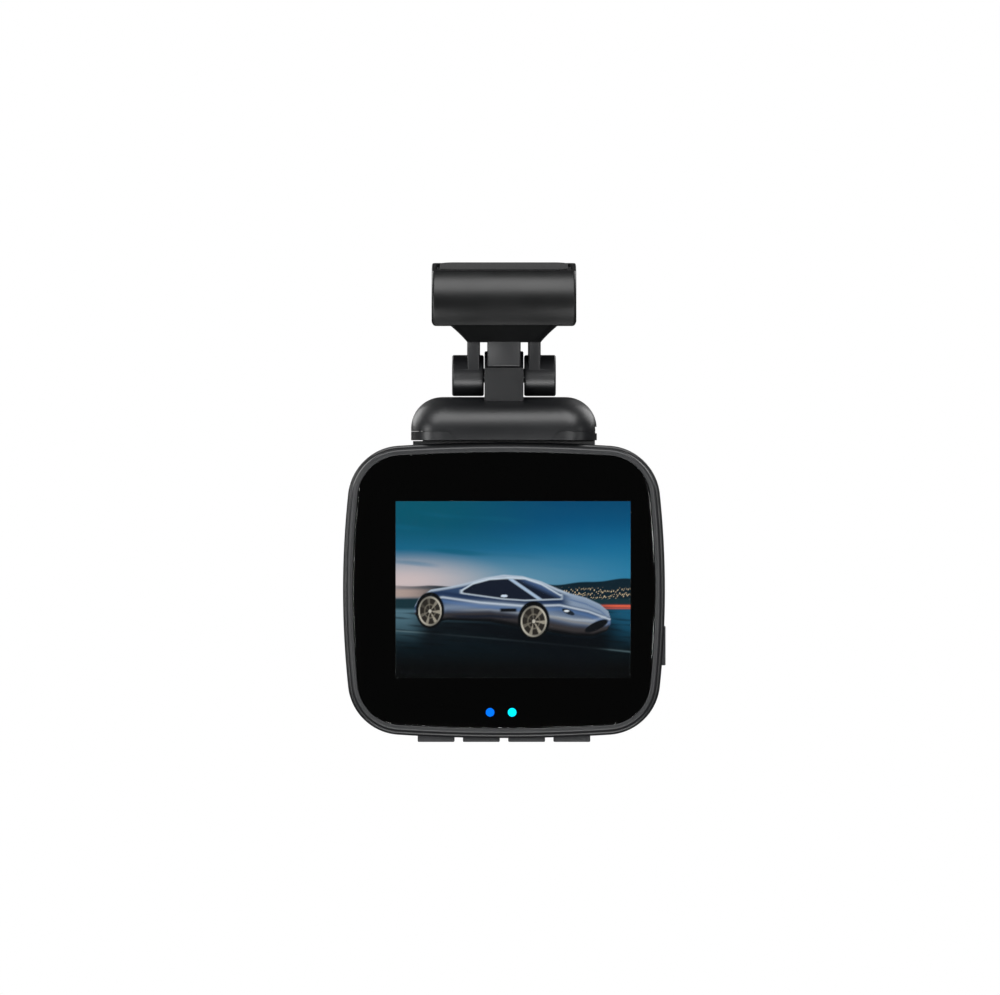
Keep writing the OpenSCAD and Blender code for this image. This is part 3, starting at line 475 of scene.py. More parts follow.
def wheel(scene, x, y, cx, cy, rx, ry):
    # tyre, bright rim and paired spokes drawn by distance and angle from the hub
    u, v = (x - cx) / rx, (y - cy) / ry
    d = np.hypot(u, v)
    scene = mixIn(scene, "#020406", step(1.22, 1.12, np.hypot(u, v - 0.06)))
    scene = mixIn(scene, "#04070A", step(1.12, 1.06, d))
    scene = mixIn(scene, "#2B2723", step(0.94, 0.90, d))
    turn = np.arctan2(v, u)
    scene = mixIn(scene, "#CFC7B8", softBand(d, 0.84, 0.95, 0.03) * (0.65 + 0.35 * np.sin(turn * 2 + 0.6)))
    spokes = step(0.35, 0.7, np.cos(7 * turn + 0.5)) * step(0.88, 0.82, d) * step(0.10, 0.2, d)
    scene = mixIn(scene, "#A89F90", spokes * (0.55 + 0.45 * np.sin(turn + 2.2)))
    scene = mixIn(scene, "#8B8375", softBand(d, 0.40, 0.47, 0.04) * 0.6)
    return mixIn(scene, "#D8D0C2", step(0.14, 0.10, d) * 0.8)


car = {"roof": [[0.08, 0.40], [0.10, 0.452], [0.15, 0.498], [0.23, 0.515], [0.30, 0.535], [0.38, 0.566],
                [0.46, 0.583], [0.54, 0.575], [0.62, 0.545], [0.69, 0.503], [0.74, 0.478], [0.81, 0.452],
                [0.87, 0.415], [0.905, 0.375], [0.915, 0.335]],
       "sill": [[0.08, 0.36], [0.12, 0.30], [0.22, 0.325], [0.40, 0.315], [0.52, 0.285], [0.66, 0.255],
                [0.76, 0.235], [0.84, 0.232], [0.90, 0.262], [0.915, 0.30]],
       "belt": [[0.22, 0.492], [0.34, 0.470], [0.46, 0.448], [0.55, 0.440], [0.70, 0.447]],
       "glassTop": [[0.28, 0.488], [0.33, 0.528], [0.40, 0.553], [0.48, 0.560], [0.55, 0.556],
                    [0.62, 0.524], [0.70, 0.462]],
       "shoulder": [[0.09, 0.44], [0.20, 0.455], [0.36, 0.425], [0.55, 0.405], [0.70, 0.410], [0.82, 0.375],
                    [0.91, 0.33]],
       "rearWheel": (0.146, 0.376, 0.052, 0.088),
       "frontWheel": (0.588, 0.318, 0.058, 0.093)}


def paintCar(scene, x, y):
    # a low coupe of no make, from plain height lines: body between sill and roof, then glass, folds and lamps
    roof, sill = band(x, car["roof"]), band(x, car["sill"])
    belt, glassTop, shoulder = band(x, car["belt"]), band(x, car["glassTop"]), band(x, car["shoulder"])
    ends = step(0.078, 0.084, x) * step(0.918, 0.912, x)
    under = step(sill + 0.03, sill - 0.02, y) * step(sill - 0.24, sill - 0.05, y)
    shadow = under * step(0.04, 0.16, x) * step(0.99, 0.86, x)
    scene = mixIn(scene, "#01040A", shadow * 0.93)
    body = step(roof + 0.004, roof - 0.004, y) * step(sill - 0.004, sill + 0.004, y) * ends
    up = np.clip((y - sill) / np.maximum(roof - sill, 0.01), 0, 1)
    skin = np.zeros(x.shape + (3,))
    skin = mixIn(skin, "#33496B", np.ones_like(x))
    skin = mixIn(skin, "#7D8CA3", softBand(up, 0.28, 0.50, 0.12) * 0.9)
    crease = np.exp(-((y - sill - 0.072 + 0.02 * np.sin(5 * x + 1)) / 0.008) ** 2)
    skin = mixIn(skin, "#C9CDD2", crease * step(0.2, 0.4, x) * 0.5)
    skin = mixIn(skin, "#3A3432", step(0.36, 0.16, up) * 0.95)
    skin = mixIn(skin, "#8D8A88", np.exp(-((up - 0.34) / 0.035) ** 2) * step(0.55, 0.75, x) * 0.7)
    skin = mixIn(skin, "#06090D", step(0.14, 0.04, up))
    skin = mixIn(skin, "#D5DEEA", np.exp(-((y - shoulder) / 0.006) ** 2) * 0.85)
    skin = mixIn(skin, "#1B2C4C", np.exp(-((y - shoulder - 0.024) / 0.013) ** 2) * 0.8)
    skin = mixIn(skin, "#5877A6", np.exp(-((y - shoulder + 0.022) / 0.012) ** 2) * 0.7)
    skin = mixIn(skin, "#C2CFDF", step(0.90, 0.985, up) * 0.9)
    bonnet = step(0.70, 0.76, x) * step(shoulder, shoulder + 0.02, y)
    skin = mixIn(skin, "#93A4BC", bonnet * 0.85)
    skin = mixIn(skin, "#5B7398", bonnet * np.exp(-((y - roof + 0.035) / 0.006) ** 2) * 0.8)
    flank = np.exp(-((y - sill - 0.055 + 0.03 * np.sin(6 * x)) / 0.010) ** 2) * softBand(x, 0.24, 0.52, 0.05)
    skin = mixIn(skin, "#101A2B", flank * 0.85)
    vent = softBand(y, 0.372, 0.392, 0.004) * softBand(x, 0.445, 0.515, 0.006)
    skin = mixIn(skin, "#0A0F16", vent)
    scene = scene + (skin - scene) * body[..., None]
    window = step(glassTop + 0.004, glassTop - 0.004, y) * step(belt - 0.004, belt + 0.004, y)
    window = window * softBand(x, 0.285, 0.705, 0.006)
    frameLine = step(glassTop + 0.014, glassTop + 0.006, y) * step(belt - 0.010, belt - 0.002, y)
    scene = mixIn(scene, "#DCE8F4", frameLine * softBand(x, 0.275, 0.71, 0.008) * 0.8)
    scene = mixIn(scene, "#141C2C", window)
    pillar = np.abs(y - (0.562 - 0.92 * (x - 0.485)))
    scene = mixIn(scene, "#AFC3DC", step(0.014, 0.006, pillar) * window)
    shine = np.abs(y - (0.60 - 0.60 * (x - 0.50)))
    scene = mixIn(scene, "#5470A0", step(0.05, 0.0, shine) * window * step(0.50, 0.56, x) * 0.8)
    lamp = step(1.0, 0.8, np.hypot((x - 0.735) / 0.030, (y - 0.372 + 0.5 * (x - 0.735)) / 0.016))
    scene = mixIn(scene, "#1A2430", lamp)
    scene = mixIn(scene, "#F2F8FF", step(0.5, 0.2, np.hypot((x - 0.728) / 0.030, (y - 0.377) / 0.016)))
    intake = step(1.0, 0.8, np.hypot((x - 0.855) / 0.055, (y - 0.292 - 0.55 * (x - 0.855)) / 0.028))
    scene = mixIn(scene, "#0B0F14", intake * body)
    mirror = step(1.0, 0.7, np.hypot((x - 0.462) / 0.017, (y - 0.462) / 0.009))
    scene = mixIn(scene, "#D5E2F2", mirror)
    scene = wheel(scene, x, y, *car["rearWheel"])
    return wheel(scene, x, y, *car["frontWheel"])


def buildPicture():
    # a flat grid with one colour at each point, lit from within
    p = picture
    u, v = np.meshgrid(np.linspace(0, 1, p["columns"]), np.linspace(0, 1, p["rows"]), indexing="ij")
    midZ = bodyShape["centreZ"] + p["raised"]
    x, z = p["centreX"] + (u - 0.5) * p["width"], midZ + (v - 0.5) * p["height"]
    verts = np.stack([x, np.full_like(u, p["depth"]), z], -1)
    i, j = np.meshgrid(np.arange(p["columns"] - 1), np.arange(p["rows"] - 1), indexing="ij")
    at = i * p["rows"] + j
    faces = np.stack([at, at + p["rows"], at + p["rows"] + 1, at + 1], -1).reshape(-1, 4)
    mesh = bpy.data.meshes.new("litPicture")
    mesh.from_pydata((verts.reshape(-1, 3) * mm).tolist(), [], faces.tolist())
    colours = np.ones((u.size, 4), np.float32)
    colours[:, :3] = np.clip(paintCar(duskScene(u, v), u, v), 0, 1).reshape(-1, 3)
    layer = mesh.color_attributes.new("screenColour", "FLOAT_COLOR", "POINT")
    layer.data.foreach_set("color", colours.ravel())
    obj = bpy.data.objects.new("litPicture", mesh)
    bpy.context.scene.collection.objects.link(obj)
    return settle(obj, "camera", slot="lcd_glass")


def srgb(code):
    # hex text to linear colour, by the standard curve with its straight foot
    v = np.array([int(code[k:k + 2], 16) for k in (1, 3, 5)]) / 255
    lin = np.where(v <= 0.04045, v / 12.92, ((v + 0.055) / 1.055) ** 2.4)
    return (float(lin[0]), float(lin[1]), float(lin[2]), 1.0)


buildBezel()
buildGlass()
buildPicture()
print("bezel, glass and picture done")


# head block, neck, arms and stop tongue; depths and heights run down from the pad's face
mount = {"slope": 6.0, "halfTop": 8.5, "arcR": 10.4, "arcDepth": 9.7, "width": 30.2, "height": 12.5,
         "endRoll": 0.8, "neckX": (11.25, 9.1, 7.7), "neckY": (10.6, 8.9, 7.2), "neckIn": 0.8,
         "neckBow": 1.7, "neckEnd": -16.0, "neckRound": 2.0, "hingeZ": -23.0, "armIn": 5.0, "armOut": 7.7,
         "armSlim": 0.3, "armRound": 0.5, "armUp": 0.5, "barrelIn": 4.2, "barrelOut": 10.85, "barrelR": 4.3,
         "barrelRoll": 0.45, "screwR": 1.55, "screwHeadR": 2.8, "screwHeadIn": 2.4, "nutR": 3.15,
         "nutIn": 2.7, "tongueX": 3.5, "tongueY": -5.5, "tongueT": 1.7, "tongueRound": 0.4,
         "tongueZ": (-21.2, -14.8), "tongueEdge": 0.35, "capW": 28.4, "capD": 16.6, "capR": 3.7,
         "capGap": 0.2, "capT": 1.1, "capRoll": 0.3, "hollowIn": 3, "hollowR": 2.5, "hollowDeep": 7,
         "rimDepth": 0.3, "padT": 0.8, "padIn": 1.6, "padD": 15.4, "padR": 3.0, "padRoll": 0.12,
         "planer": (60, 40, 3, -5), "above": -2, "reach": 20}


def tilted(y, z):
    # a point turned by the slope of the windscreen pad
    a = math.radians(mount["slope"])
    return np.array([y * math.cos(a) - z * math.sin(a), y * math.sin(a) + z * math.cos(a)])


def headOutline():
    # front and rear arcs joined by the sloped top and a level underside
    m = mount
    reach = math.sqrt(m["arcR"] ** 2 - m["arcDepth"] ** 2)
    front = tilted(-(m["halfTop"] - reach), -m["arcDepth"])
    rear = tilted(m["halfTop"] - reach, -m["arcDepth"])
    end = math.degrees(math.asin(m["arcDepth"] / m["arcR"]))
    low = [math.degrees(math.asin((-m["height"] - c[1]) / m["arcR"])) for c in (front, rear)]
    a = arc(front[0], front[1], m["arcR"], 180 - low[0], 180 - end + m["slope"], 40)
    b = arc(rear[0], rear[1], m["arcR"], end + m["slope"], low[1], 40)
    foot = rear + m["arcR"] * np.array([math.cos(math.radians(low[1])), math.sin(math.radians(low[1]))])
    return np.concatenate([a, [tilted(-m["halfTop"], 0), tilted(m["halfTop"], 0)], b, [foot]])


def slopedPlate(name, w, d, r, top, bottom, roll, replaced=()):
    # a rounded plate lying under the sloped pad face; its rims are quarter rounds
    flat = roundRect(w, d, r, 14)
    a = quarter(5)
    inset = roll * (1 - np.sin(a))
    run = roll * (1 - np.cos(a))
    depths = np.concatenate([top + run, bottom - run[::-1]])
    scale = [1 - np.concatenate([inset, inset[::-1]])[:, None] / (side / 2) for side in (w, d)]
    down = np.repeat(-depths[:, None], len(flat), 1)
    rings = np.stack([flat[:, 0] * scale[0], flat[:, 1] * scale[1], down], 2)
    rings[..., 1], rings[..., 2] = tilted(rings[..., 1], rings[..., 2])
    return loft(name, rings, "mount", replaced)


def bend(p0, p1, p2, n=14):
    # a curve that leaves the first number towards the second and ends at the third
    t = np.linspace(0, 1, n)
    return (1 - t) ** 2 * p0 + 2 * t * (1 - t) * p1 + t * t * p2


def buildMount():
    # an arc-sided head, hollowed, joined to a neck that narrows on a curve, with arms and barrels below
    m = mount
    side, capW, capD, capFoot = m["width"] / 2, m["capW"], m["capD"], m["padT"] + m["capT"]
    head = extruded("mountHead", headOutline(), 0, -side, side, m["endRoll"], "mount", ("mount_head",))
    # the top is planed off level with the pad, then sunk for the cap, then hollowed
    above, slim = m["above"], m["hollowIn"]
    cut(head, [slopedPlate("cutter", *m["planer"], m["rimDepth"], 0),
               slopedPlate("cutter", capW + m["capGap"], capD + m["capGap"], m["capR"], above, capFoot, 0),
               slopedPlate("cutter", capW - slim, capD - slim, m["hollowR"], above, m["hollowDeep"], 0)])
    z = bend(-m["height"], m["neckEnd"] + m["neckBow"], m["neckEnd"])
    halfX, halfY = bend(*m["neckX"]), bend(*m["neckY"])
    tops = (m["neckX"][0], m["neckY"][0], m["neckIn"] - m["height"])
    halfX, halfY, z = (np.insert(v, 0, w) for v, w in zip((halfX, halfY, z), tops))
    neck = np.stack([np.insert(roundRect(2 * hx, 2 * hy, m["neckRound"], 8), 2, level, axis=1)
                     for hx, hy, level in zip(halfX, halfY, z)])
    grown = [loft("cutter", neck, "camera")]
    for s in (-1, 1):
        mid, half = s * (m["armIn"] + m["armOut"]) / 2, (m["armOut"] - m["armIn"]) / 2
        arm = roundRect(2 * half, 2 * m["barrelR"] - m["armSlim"], m["armRound"], 6) + [mid, 0]
        grown.append(extruded("cutter", arm, 2, m["hingeZ"], m["neckEnd"] + m["armUp"], 0.01, "camera"))
        drumMid, drumHalf = s * (m["barrelIn"] + m["barrelOut"]) / 2, (m["barrelOut"] - m["barrelIn"]) / 2
        grown.append(barrel(drumMid, drumHalf, m["barrelR"], m["barrelRoll"]))
    cut(head, [grown.pop(0)], "UNION")
    tongueMid = [0, m["tongueY"] - m["tongueT"] / 2]
    tongue = roundRect(2 * m["tongueX"], m["tongueT"], m["tongueRound"], 6) + tongueMid
    low, high = m["tongueZ"]
    # the arms, tongue and barrels of the one-piece head take the lighter frame plastic: a painted lighter tone
    # for the light they catch
    arms = extruded("mountArms", tongue, 2, low, high, m["tongueEdge"], "mount", ("mount_head",), "bezel_black")
    cut(arms, grown, "UNION")
    out, z, reach = m["barrelOut"], m["hingeZ"], m["reach"]
    cut(arms, [rodCutter([-reach, 0, z], [reach, 0, z], m["screwR"]),
               rodCutter([-reach, 0, z], [m["screwHeadIn"] - out, 0, z], m["screwHeadR"]),
               rodCutter([out - m["nutIn"], 0, z], [reach, 0, z], m["nutR"], 6)])
    slopedPlate("padCap", capW, capD, m["capR"], m["padT"], capFoot, m["capRoll"], ("head_cap",))
    foamW = capW - m["padIn"]
    slopedPlate("foamPad", foamW, m["padD"], m["padR"], 0, m["padT"], m["padRoll"], ("adhesive_pad",))


def barrel(midX, half, radius, roll):
    # a cutter shaped as a short drum along X with rolled rims
    a = quarter(6)
    r = radius - roll * (1 - np.sin(a))
    x = half - roll * (1 - np.cos(a))
    profile = np.concatenate([np.stack([r, -x], 1), np.stack([r[::-1], x[::-1]], 1)])
    turn = 2 * np.pi * np.arange(96) / 96
    rings = np.stack([np.repeat(midX + profile[:, 1][:, None], 96, 1), profile[:, 0][:, None] * np.cos(turn),
                      mount["hingeZ"] + profile[:, 0][:, None] * np.sin(turn)], 2)
    return loft("cutter", rings, "camera")


buildMount()
print("mount done")

# the domed cover on top of the camera, with its hinge knuckle and the channel for the rail
cradle = {"width": 38.8, "depth": 24.0, "height": 9.0, "frontRound": 9.0, "endRound": 6.5, "planR": 7.0,
          "bottom": -36.5, "wall": 1.5, "skirtZ": -34.6, "skirtX": 11.5, "tabX": 9.8, "knuckleX": 4.07,
          "knuckleR": 5.1, "knuckleRoll": 0.3, "stopY": -6.8, "stopZ": -21.4, "stopFoot": -28.6,
          "stopRound": 0.25, "backFoot": -28.4, "backRound": 0.2, "railX": (-17.4, 30), "railY": 6.8,
          "railRoof": -33.7, "lift": 0.012, "reach": (40, 20), "side": 30, "past": 1, "slimmest": 0.6,
          "planFlat": 0.3}


def cradleForm(name, t, replaced=(), levels=22):
    # rounded rectangles stacked up a quarter turn: the front falls in on one radius, the ends on another
    c = cradle
    a = quarter(levels)
    z = (c["height"] - t) * np.sin(a)
    inY = (c["frontRound"] - t) * (1 - np.cos(a))
    over = np.maximum(0, z - (c["height"] - c["endRound"]))
    r = c["endRound"] - t
    inX = r - np.sqrt(np.maximum(0, r * r - over ** 2))
    halfX, halfY = c["width"] / 2 - t - inX, np.maximum(c["depth"] / 2 - t - inY, c["slimmest"])
    radii = np.minimum(c["planR"], halfY - c["planFlat"])
    plans = [roundRect(2 * hx, 2 * hy, r, 14) for hx, hy, r in zip(halfX, halfY, radii)]
    rings = np.stack([np.insert(plan, 2, c["bottom"] + level, axis=1) for plan, level in zip(plans, z)])
    return loft(name, rings, "cradle", replaced)


def skirtCutter(side):
    # everything beside and under the seam, which drops from the skirt line to the tab
    c = cradle
    low, reach = c["bottom"] - c["past"], c["reach"][1]
    flat = side * np.array([[c["tabX"], 0], [c["tabX"], 0], [c["skirtX"], 0], [c["side"], 0], [c["side"], 0]])
    flat[:, 1] = [low, c["bottom"], c["skirtZ"], c["skirtZ"], low]
    return loft("cutter", np.stack([np.insert(flat, 1, y, axis=1) for y in (-reach, reach)]), "camera")


def buildCradle():
    # the dome less itself one wall smaller, joined to the knuckle, less skirt line, channel and hinge bore
    c = cradle
    cover = cradleForm("cradleCover", 0, ("cradle_cover",))
    cut(cover, [cradleForm("cutter", c["wall"])])
    x, hingeZ = c["knuckleX"], mount["hingeZ"]
    cut(cover, [barrel(0, x, c["knuckleR"], c["knuckleRoll"]),
                blockCutter([-x, c["stopY"], c["stopFoot"]], [x, 0, c["stopZ"]], c["stopRound"]),
                blockCutter([-x, 0, c["backFoot"]], [x, c["knuckleR"], hingeZ], c["backRound"])], "UNION")
    low, (wide, deep) = c["bottom"] - c["past"], c["reach"]
    cut(cover, [skirtCutter(-1), skirtCutter(1),
                blockCutter([-wide, -deep, low], [wide, deep, c["bottom"] + c["lift"]]),
                blockCutter([c["railX"][0], -c["railY"], low], [c["railX"][1], c["railY"], c["railRoof"]]),
                rodCutter([-deep, 0, hingeZ], [deep, 0, hingeZ], mount["screwR"])])


buildCradle()
print("cradle done")

# the lens stack is turned about the optical axis; most depths run from the sensor's face
lens = {"tubeR": 11.6, "tubeOut": 8.0, "flangeR": 13.2, "flangeT": 1.6, "bore": 8.6, "innerEnd": 11.2,
        "seat": 10.0, "spigot": 0.45, "grooves": (1.2, 1.5, 1.9, 2.2), "grooveDeep": 0.35, "ringRoll": 0.14,
        "windowY": 19.6, "windowT": 1, "windowR": 9.9, "windowEdge": 0.15, "domeGap": 0.7, "domeR": 9.0,
        "domeEdge": 6.6, "domeBack": 4.2, "sensorY": 2.0, "throat": 3.4, "foot": (3.2, 5.95),
        "shoulder": (7, 8.0), "mouth": 1.4, "stepR": 6.7, "stepWide": 0.28, "stepDeep": 0.55, "rearR": 4.2,
        "rearY": (3.4, 5.4), "rearEdge": 0.12, "axis": 0.02}


def rolled(points, roll, n=5):
    # replaces each corner of a closed section by a small arc
    p = np.asarray(points, float)
    back, ahead = np.roll(p, 1, 0) - p, np.roll(p, -1, 0) - p
    back /= np.linalg.norm(back, axis=1)[:, None]
    ahead /= np.linalg.norm(ahead, axis=1)[:, None]
    t = np.linspace(0, 1, n)[None, :, None]
    a, b = (p + roll * back)[:, None], (p + roll * ahead)[:, None]
    return ((1 - t) ** 2 * a + 2 * t * (1 - t) * p[:, None] + t * t * b).reshape(-1, 2)


def buildLens():
    # each part is a section of [radius, y] points; the dome is r sin(a) out and r (1 - cos(a)) back
    n, s = lens, bodyShape
    end, collar = s["back"] + n["tubeOut"], s["back"] + n["flangeT"]
    a, b, c, d = (end - depth for depth in n["grooves"])
    core = n["tubeR"] - n["grooveDeep"]
    bore, seat, spigot, tube, flange = n["bore"], n["seat"], n["seat"] + n["spigot"], n["tubeR"], n["flangeR"]
    ring = [[bore, n["innerEnd"]], [spigot, n["innerEnd"]], [spigot, s["back"]], [flange, s["back"]],
            [flange, collar], [tube, collar], [tube, d], [core, c], [core, b], [tube, a], [tube, end],
            [seat, end], [seat, n["windowY"]], [bore, n["windowY"]]]
    turned("lensRing", rolled(ring, n["ringRoll"]), ("lens_ring",), 128, True)
    near, far = n["windowY"], n["windowY"] + n["windowT"]
    disc = [[n["axis"], near], [n["windowR"], near], [n["windowR"], far], [n["axis"], far]]
    turned("lensWindow", soften(disc, n["windowEdge"]), ("lens_window",), 128, False)
    turn = np.linspace(0.002, math.asin(n["domeEdge"] / n["domeR"]), 28)
    front, back = n["windowY"] - n["domeGap"], n["windowY"] - n["domeBack"]
    dome = np.stack([n["domeR"] * np.sin(turn), front - n["domeR"] * (1 - np.cos(turn))], 1)
    dome = np.concatenate([dome, [[n["domeEdge"], back], [n["axis"], back]]])
    turned("frontLens", dome, ("front_lens",), 96, False)
    # five stairs inside the barrel's mouth stop stray light
    steps = np.arange(5)
    outX, outY = n["stepR"] + n["stepWide"] * steps, back + n["stepDeep"] * steps
    stairs = np.stack([np.repeat(outX, 2)[1:], np.repeat(outY, 2)[:-1]], 1)
    y0, mouth = n["sensorY"], n["windowY"] - n["mouth"]
    (footY, footR), (shoulderY, shoulderR) = n["foot"], n["shoulder"]
    body = [[n["throat"], y0 + footY], [footR, y0 + footY], [footR, y0 + shoulderY],
            [shoulderR, y0 + shoulderY], [shoulderR, mouth]]
    inner = [p for p in stairs[::-1].tolist() + [[n["throat"], back]] if p[1] < mouth - 0.05]
    turned("lensBarrel", body + inner, ("lens_barrel",), 96, True)
    near, far = (y0 + y for y in n["rearY"])
    rear = [[n["axis"], near], [n["rearR"], near], [n["rearR"], far], [n["axis"], far]]
    turned("rearLens", soften(rear, n["rearEdge"]), ("rear_lens",), 72, False)


def soften(points, cutBack):
    # the two outer corners of an open section taken off at a slant
    p0, p1, p2, p3 = np.asarray(points, float)
    return np.array([p0, p1 - [cutBack, 0], p1 + [0, cutBack], p2 - [0, cutBack], p2 - [cutBack, 0], p3])


buildLens()
print("lens done")

# small mouldings, boards and metal parts are CAD shapes with their edges taken off: bevel in millimetres
rounding = {"weld": 2e-6, "level": 1.0, "fine": 0.25}
edges = {"menu_button": 0.32, "back_button": 0.32, "next_button": 0.32, "ok_button": 0.32,
         "power_button": 0.3, "cradle_plate": 0.04, "dock_rail": 0.2, "hinge_screw": 0.16,
         "hinge_nut": 0.14, "memory_card": 0.1, "usb_socket": 0.06, "card_socket": 0.08, "heat_sink": 0.12,
         "mid_frame": 0.1, "lens_holder": 0.2, "battery": 0.9, "speaker": 0.25, "processor": 0.08,
         "memory_chip": 0.08, "bottom_switches": 0.12, "side_switch": 0.12, "gps_antenna": 0.15,
         "microphone": 0.12, "cradle_screws": 0.08, "rail_screws": 0.08, "frame_screws": 0.08,
         "board_screws": 0.08, "image_sensor": 0.06, "heat_pad": 0.15}
for node, edge in edges.items():
    refined(node, edge, 3 if edge > rounding["fine"] else 2)
print("small parts done")


def fill(tree, node, inputs):
    # each input is a socket to link or a value to set
    for name, value in inputs.items():
        if isinstance(value, bpy.types.NodeSocket):
            tree.links.new(value, node.inputs[name])
        else:
            node.inputs[name].default_value = value


def add(tree, kind, inputs=None, **settings):
    # one node with its settings and links
    node = tree.nodes.new("ShaderNode" + kind)
    for key, value in settings.items():
        setattr(node, key, value)
    fill(tree, node, inputs or {})
    return node


def newMaterial(name):
    # every pattern runs on Object coordinates, so it stays put on its piece
    mat = bpy.data.materials.new(name)
    mat.use_nodes = True
    tree = mat.node_tree
    return mat, tree, tree.nodes["Principled BSDF"], add(tree, "TexCoord").outputs["Object"]


def perMm(size):
    # texture scale that makes one pattern cell this many millimetres
    return 1000.0 / size


# colour, second colour, roughness low and high, metallic, IOR, pattern cell and bump height in millimetres
plastics = {
    # an even, fine spark-eroded grain keeps the sheen soft
    "satin_black_abs": ("Moulded ABS, fine spark texture",
                        "#121315", "#17181A", 0.33, 0.39, 0.0, 1.52, 0.28, 0.006),
    # the housing ABS made darker for the mount head: painted shade, not a different plastic
    "head_abs_painted_shade": ("Moulded ABS of the mount head, darkened as painted shade",
                       "#070808", "#0B0C0D", 0.33, 0.39, 0.0, 1.52, 0.28, 0.006),
    # a finer texture in a tougher blend, a shade lighter than the housing
    "bezel_black": ("Moulded PC-ABS, smoother frame texture",
                    "#1B1C1E", "#202123", 0.36, 0.43, 0.0, 1.55, 0.22, 0.004),
    # matt and a little grey, as fingers leave it
    "key_black": ("Moulded key plastic, matt", "#232426", "#292A2D", 0.42, 0.50, 0.0, 1.50, 0.25, 0.005),
    # milky and even, with a dull shine
    "white_moulding": ("White moulded nylon", "#E4E2DC", "#D8D6CF", 0.45, 0.55, 0.0, 1.53, 0.4, 0.006),
    # dull grey-black with a sandy surface
    "chip_epoxy": ("Transfer-moulded epoxy", "#1C1D1F", "#25262A", 0.5, 0.62, 0.0, 1.55, 0.15, 0.004),
    # soft and chalky, with no highlight
    "thermal_pad": ("Filled silicone pad", "#7FA0B4", "#6F90A6", 0.7, 0.8, 0.0, 1.43, 0.5, 0.02),
    # a plain dark grey moulding
    "speaker_frame": ("Moulded speaker basket", "#26272A", "#303135", 0.45, 0.55, 0.0, 1.52, 0.3, 0.006),
    # a polished tool leaves narrow, bright highlights
    "gloss_black": ("Polished black lens bezel", "#0B0C0D", "#0E0F11", 0.10, 0.16, 0.0, 1.55, 1.5, 0.001),
    # glass fibres roughen the skin
    "holder_black": ("Glass-filled holder plastic", "#151617", "#1E1F21", 0.5, 0.6, 0.0, 1.54, 0.35, 0.008),
    # satin, between gloss and matt
    "card_plastic": ("Moulded memory card, satin black",
                     "#17181B", "#1F2023", 0.38, 0.46, 0.0, 1.50, 0.2, 0.004),
    # dry and cream-coloured, like unglazed clay
    "patch_ceramic": ("Fired patch ceramic", "#CDBB94", "#BDAA82", 0.55, 0.7, 0.0, 1.60, 0.6, 0.01),
    # a tight film with slow waves in its shine
    "cell_wrap": ("Shrink-wrapped cell", "#486F94", "#527BA2", 0.22, 0.30, 0.0, 1.50, 4.0, 0.02),
    # pale yellow over the phosphor
    "led_package": ("Moulded LED package", "#EDEAD8", "#E0DCC4", 0.35, 0.45, 0.0, 1.50, 0.4, 0.004),
    # flat ink behind the glass, so only the glass shines
    "mask_print": ("Screen-printed border ink", "#111112", "#141415", 0.55, 0.65, 0.0, 1.50, 0.6, 0.002),
    # metals keep the default IOR; plating is bright with cloudy patches
    "plated_steel": ("Zinc-plated steel", "#B9BCBE", "#9FA3A6", 0.26, 0.38, 1.0, 1.45, 1.2, 0.004),
    "tin_plated_shell": ("Drawn shell, tin plated", "#C6C8C9", "#AEB1B3", 0.28, 0.40, 1.0, 1.45, 1.6, 0.004),
    "gold_plate": ("Gold-plated contacts", "#D9B45A", "#CFA648", 0.18, 0.28, 1.0, 1.45, 0.8, 0.002),
    # pressed sheet is greyer and rougher
    "pressed_magnesium": ("Pressed magnesium sheet", "#7D8083", "#6C6F73", 0.45, 0.58, 1.0, 1.45, 0.9, 0.01),
    # dyed oxide dulls the metal to a dark sheen
    "anodised_black": ("Black anodised aluminium", "#141518", "#1B1C20", 0.36, 0.44, 0.6, 1.45, 0.3, 0.003),
}
# the slow cloud and the pits of every moulded or plated surface
grain = {"cloud": 9.0, "cloudFrom": 0.3, "cloudTo": 0.7, "pit": 1.7, "strength": 0.55}


def grained(slot, ownTitle=None, specular=0.5):
    # fine noise plus small pits lift the surface; a slower cloud moves roughness and colour a little
    title, first, second, low, high, metal, ior, cell, lift = plastics[slot]
    mat, tree, shader, coords = newMaterial(ownTitle or title)
    g = grain
    cloud = add(tree, "TexNoise", {"Vector": coords, "Scale": perMm(g["cloud"]), "Detail": 3.0}).outputs["Fac"]
    fine = add(tree, "TexNoise", {"Vector": coords, "Scale": perMm(cell), "Detail": 2.0, "Roughness": 0.6})
    pits = add(tree, "TexVoronoi", {"Vector": coords, "Scale": perMm(cell * g["pit"])}, feature="SMOOTH_F1")
    both = add(tree, "Math", {0: fine.outputs["Fac"], 1: pits.outputs["Distance"]}, operation="ADD")
    rough = add(tree, "MapRange", {"Value": cloud, "From Min": g["cloudFrom"], "From Max": g["cloudTo"],
                                   "To Min": low, "To Max": high})
    tint = add(tree, "Mix", {0: cloud, 6: srgb(first), 7: srgb(second)}, data_type="RGBA")
    bump = add(tree, "Bump", {"Height": both.outputs[0], "Strength": g["strength"], "Distance": lift * mm})
    fill(tree, shader, {"Base Color": tint.outputs[2], "Roughness": rough.outputs["Result"],
                        "Normal": bump.outputs["Normal"], "Metallic": metal, "IOR": ior,
                        "Specular IOR Level": specular})
    return mat


foam = {"skin": "#0D0D0E", "cell": "#1A1A1B", "cellSize": 0.45, "lift": 0.12, "strength": 0.8,
        "roughness": 0.85, "ior": 1.48}


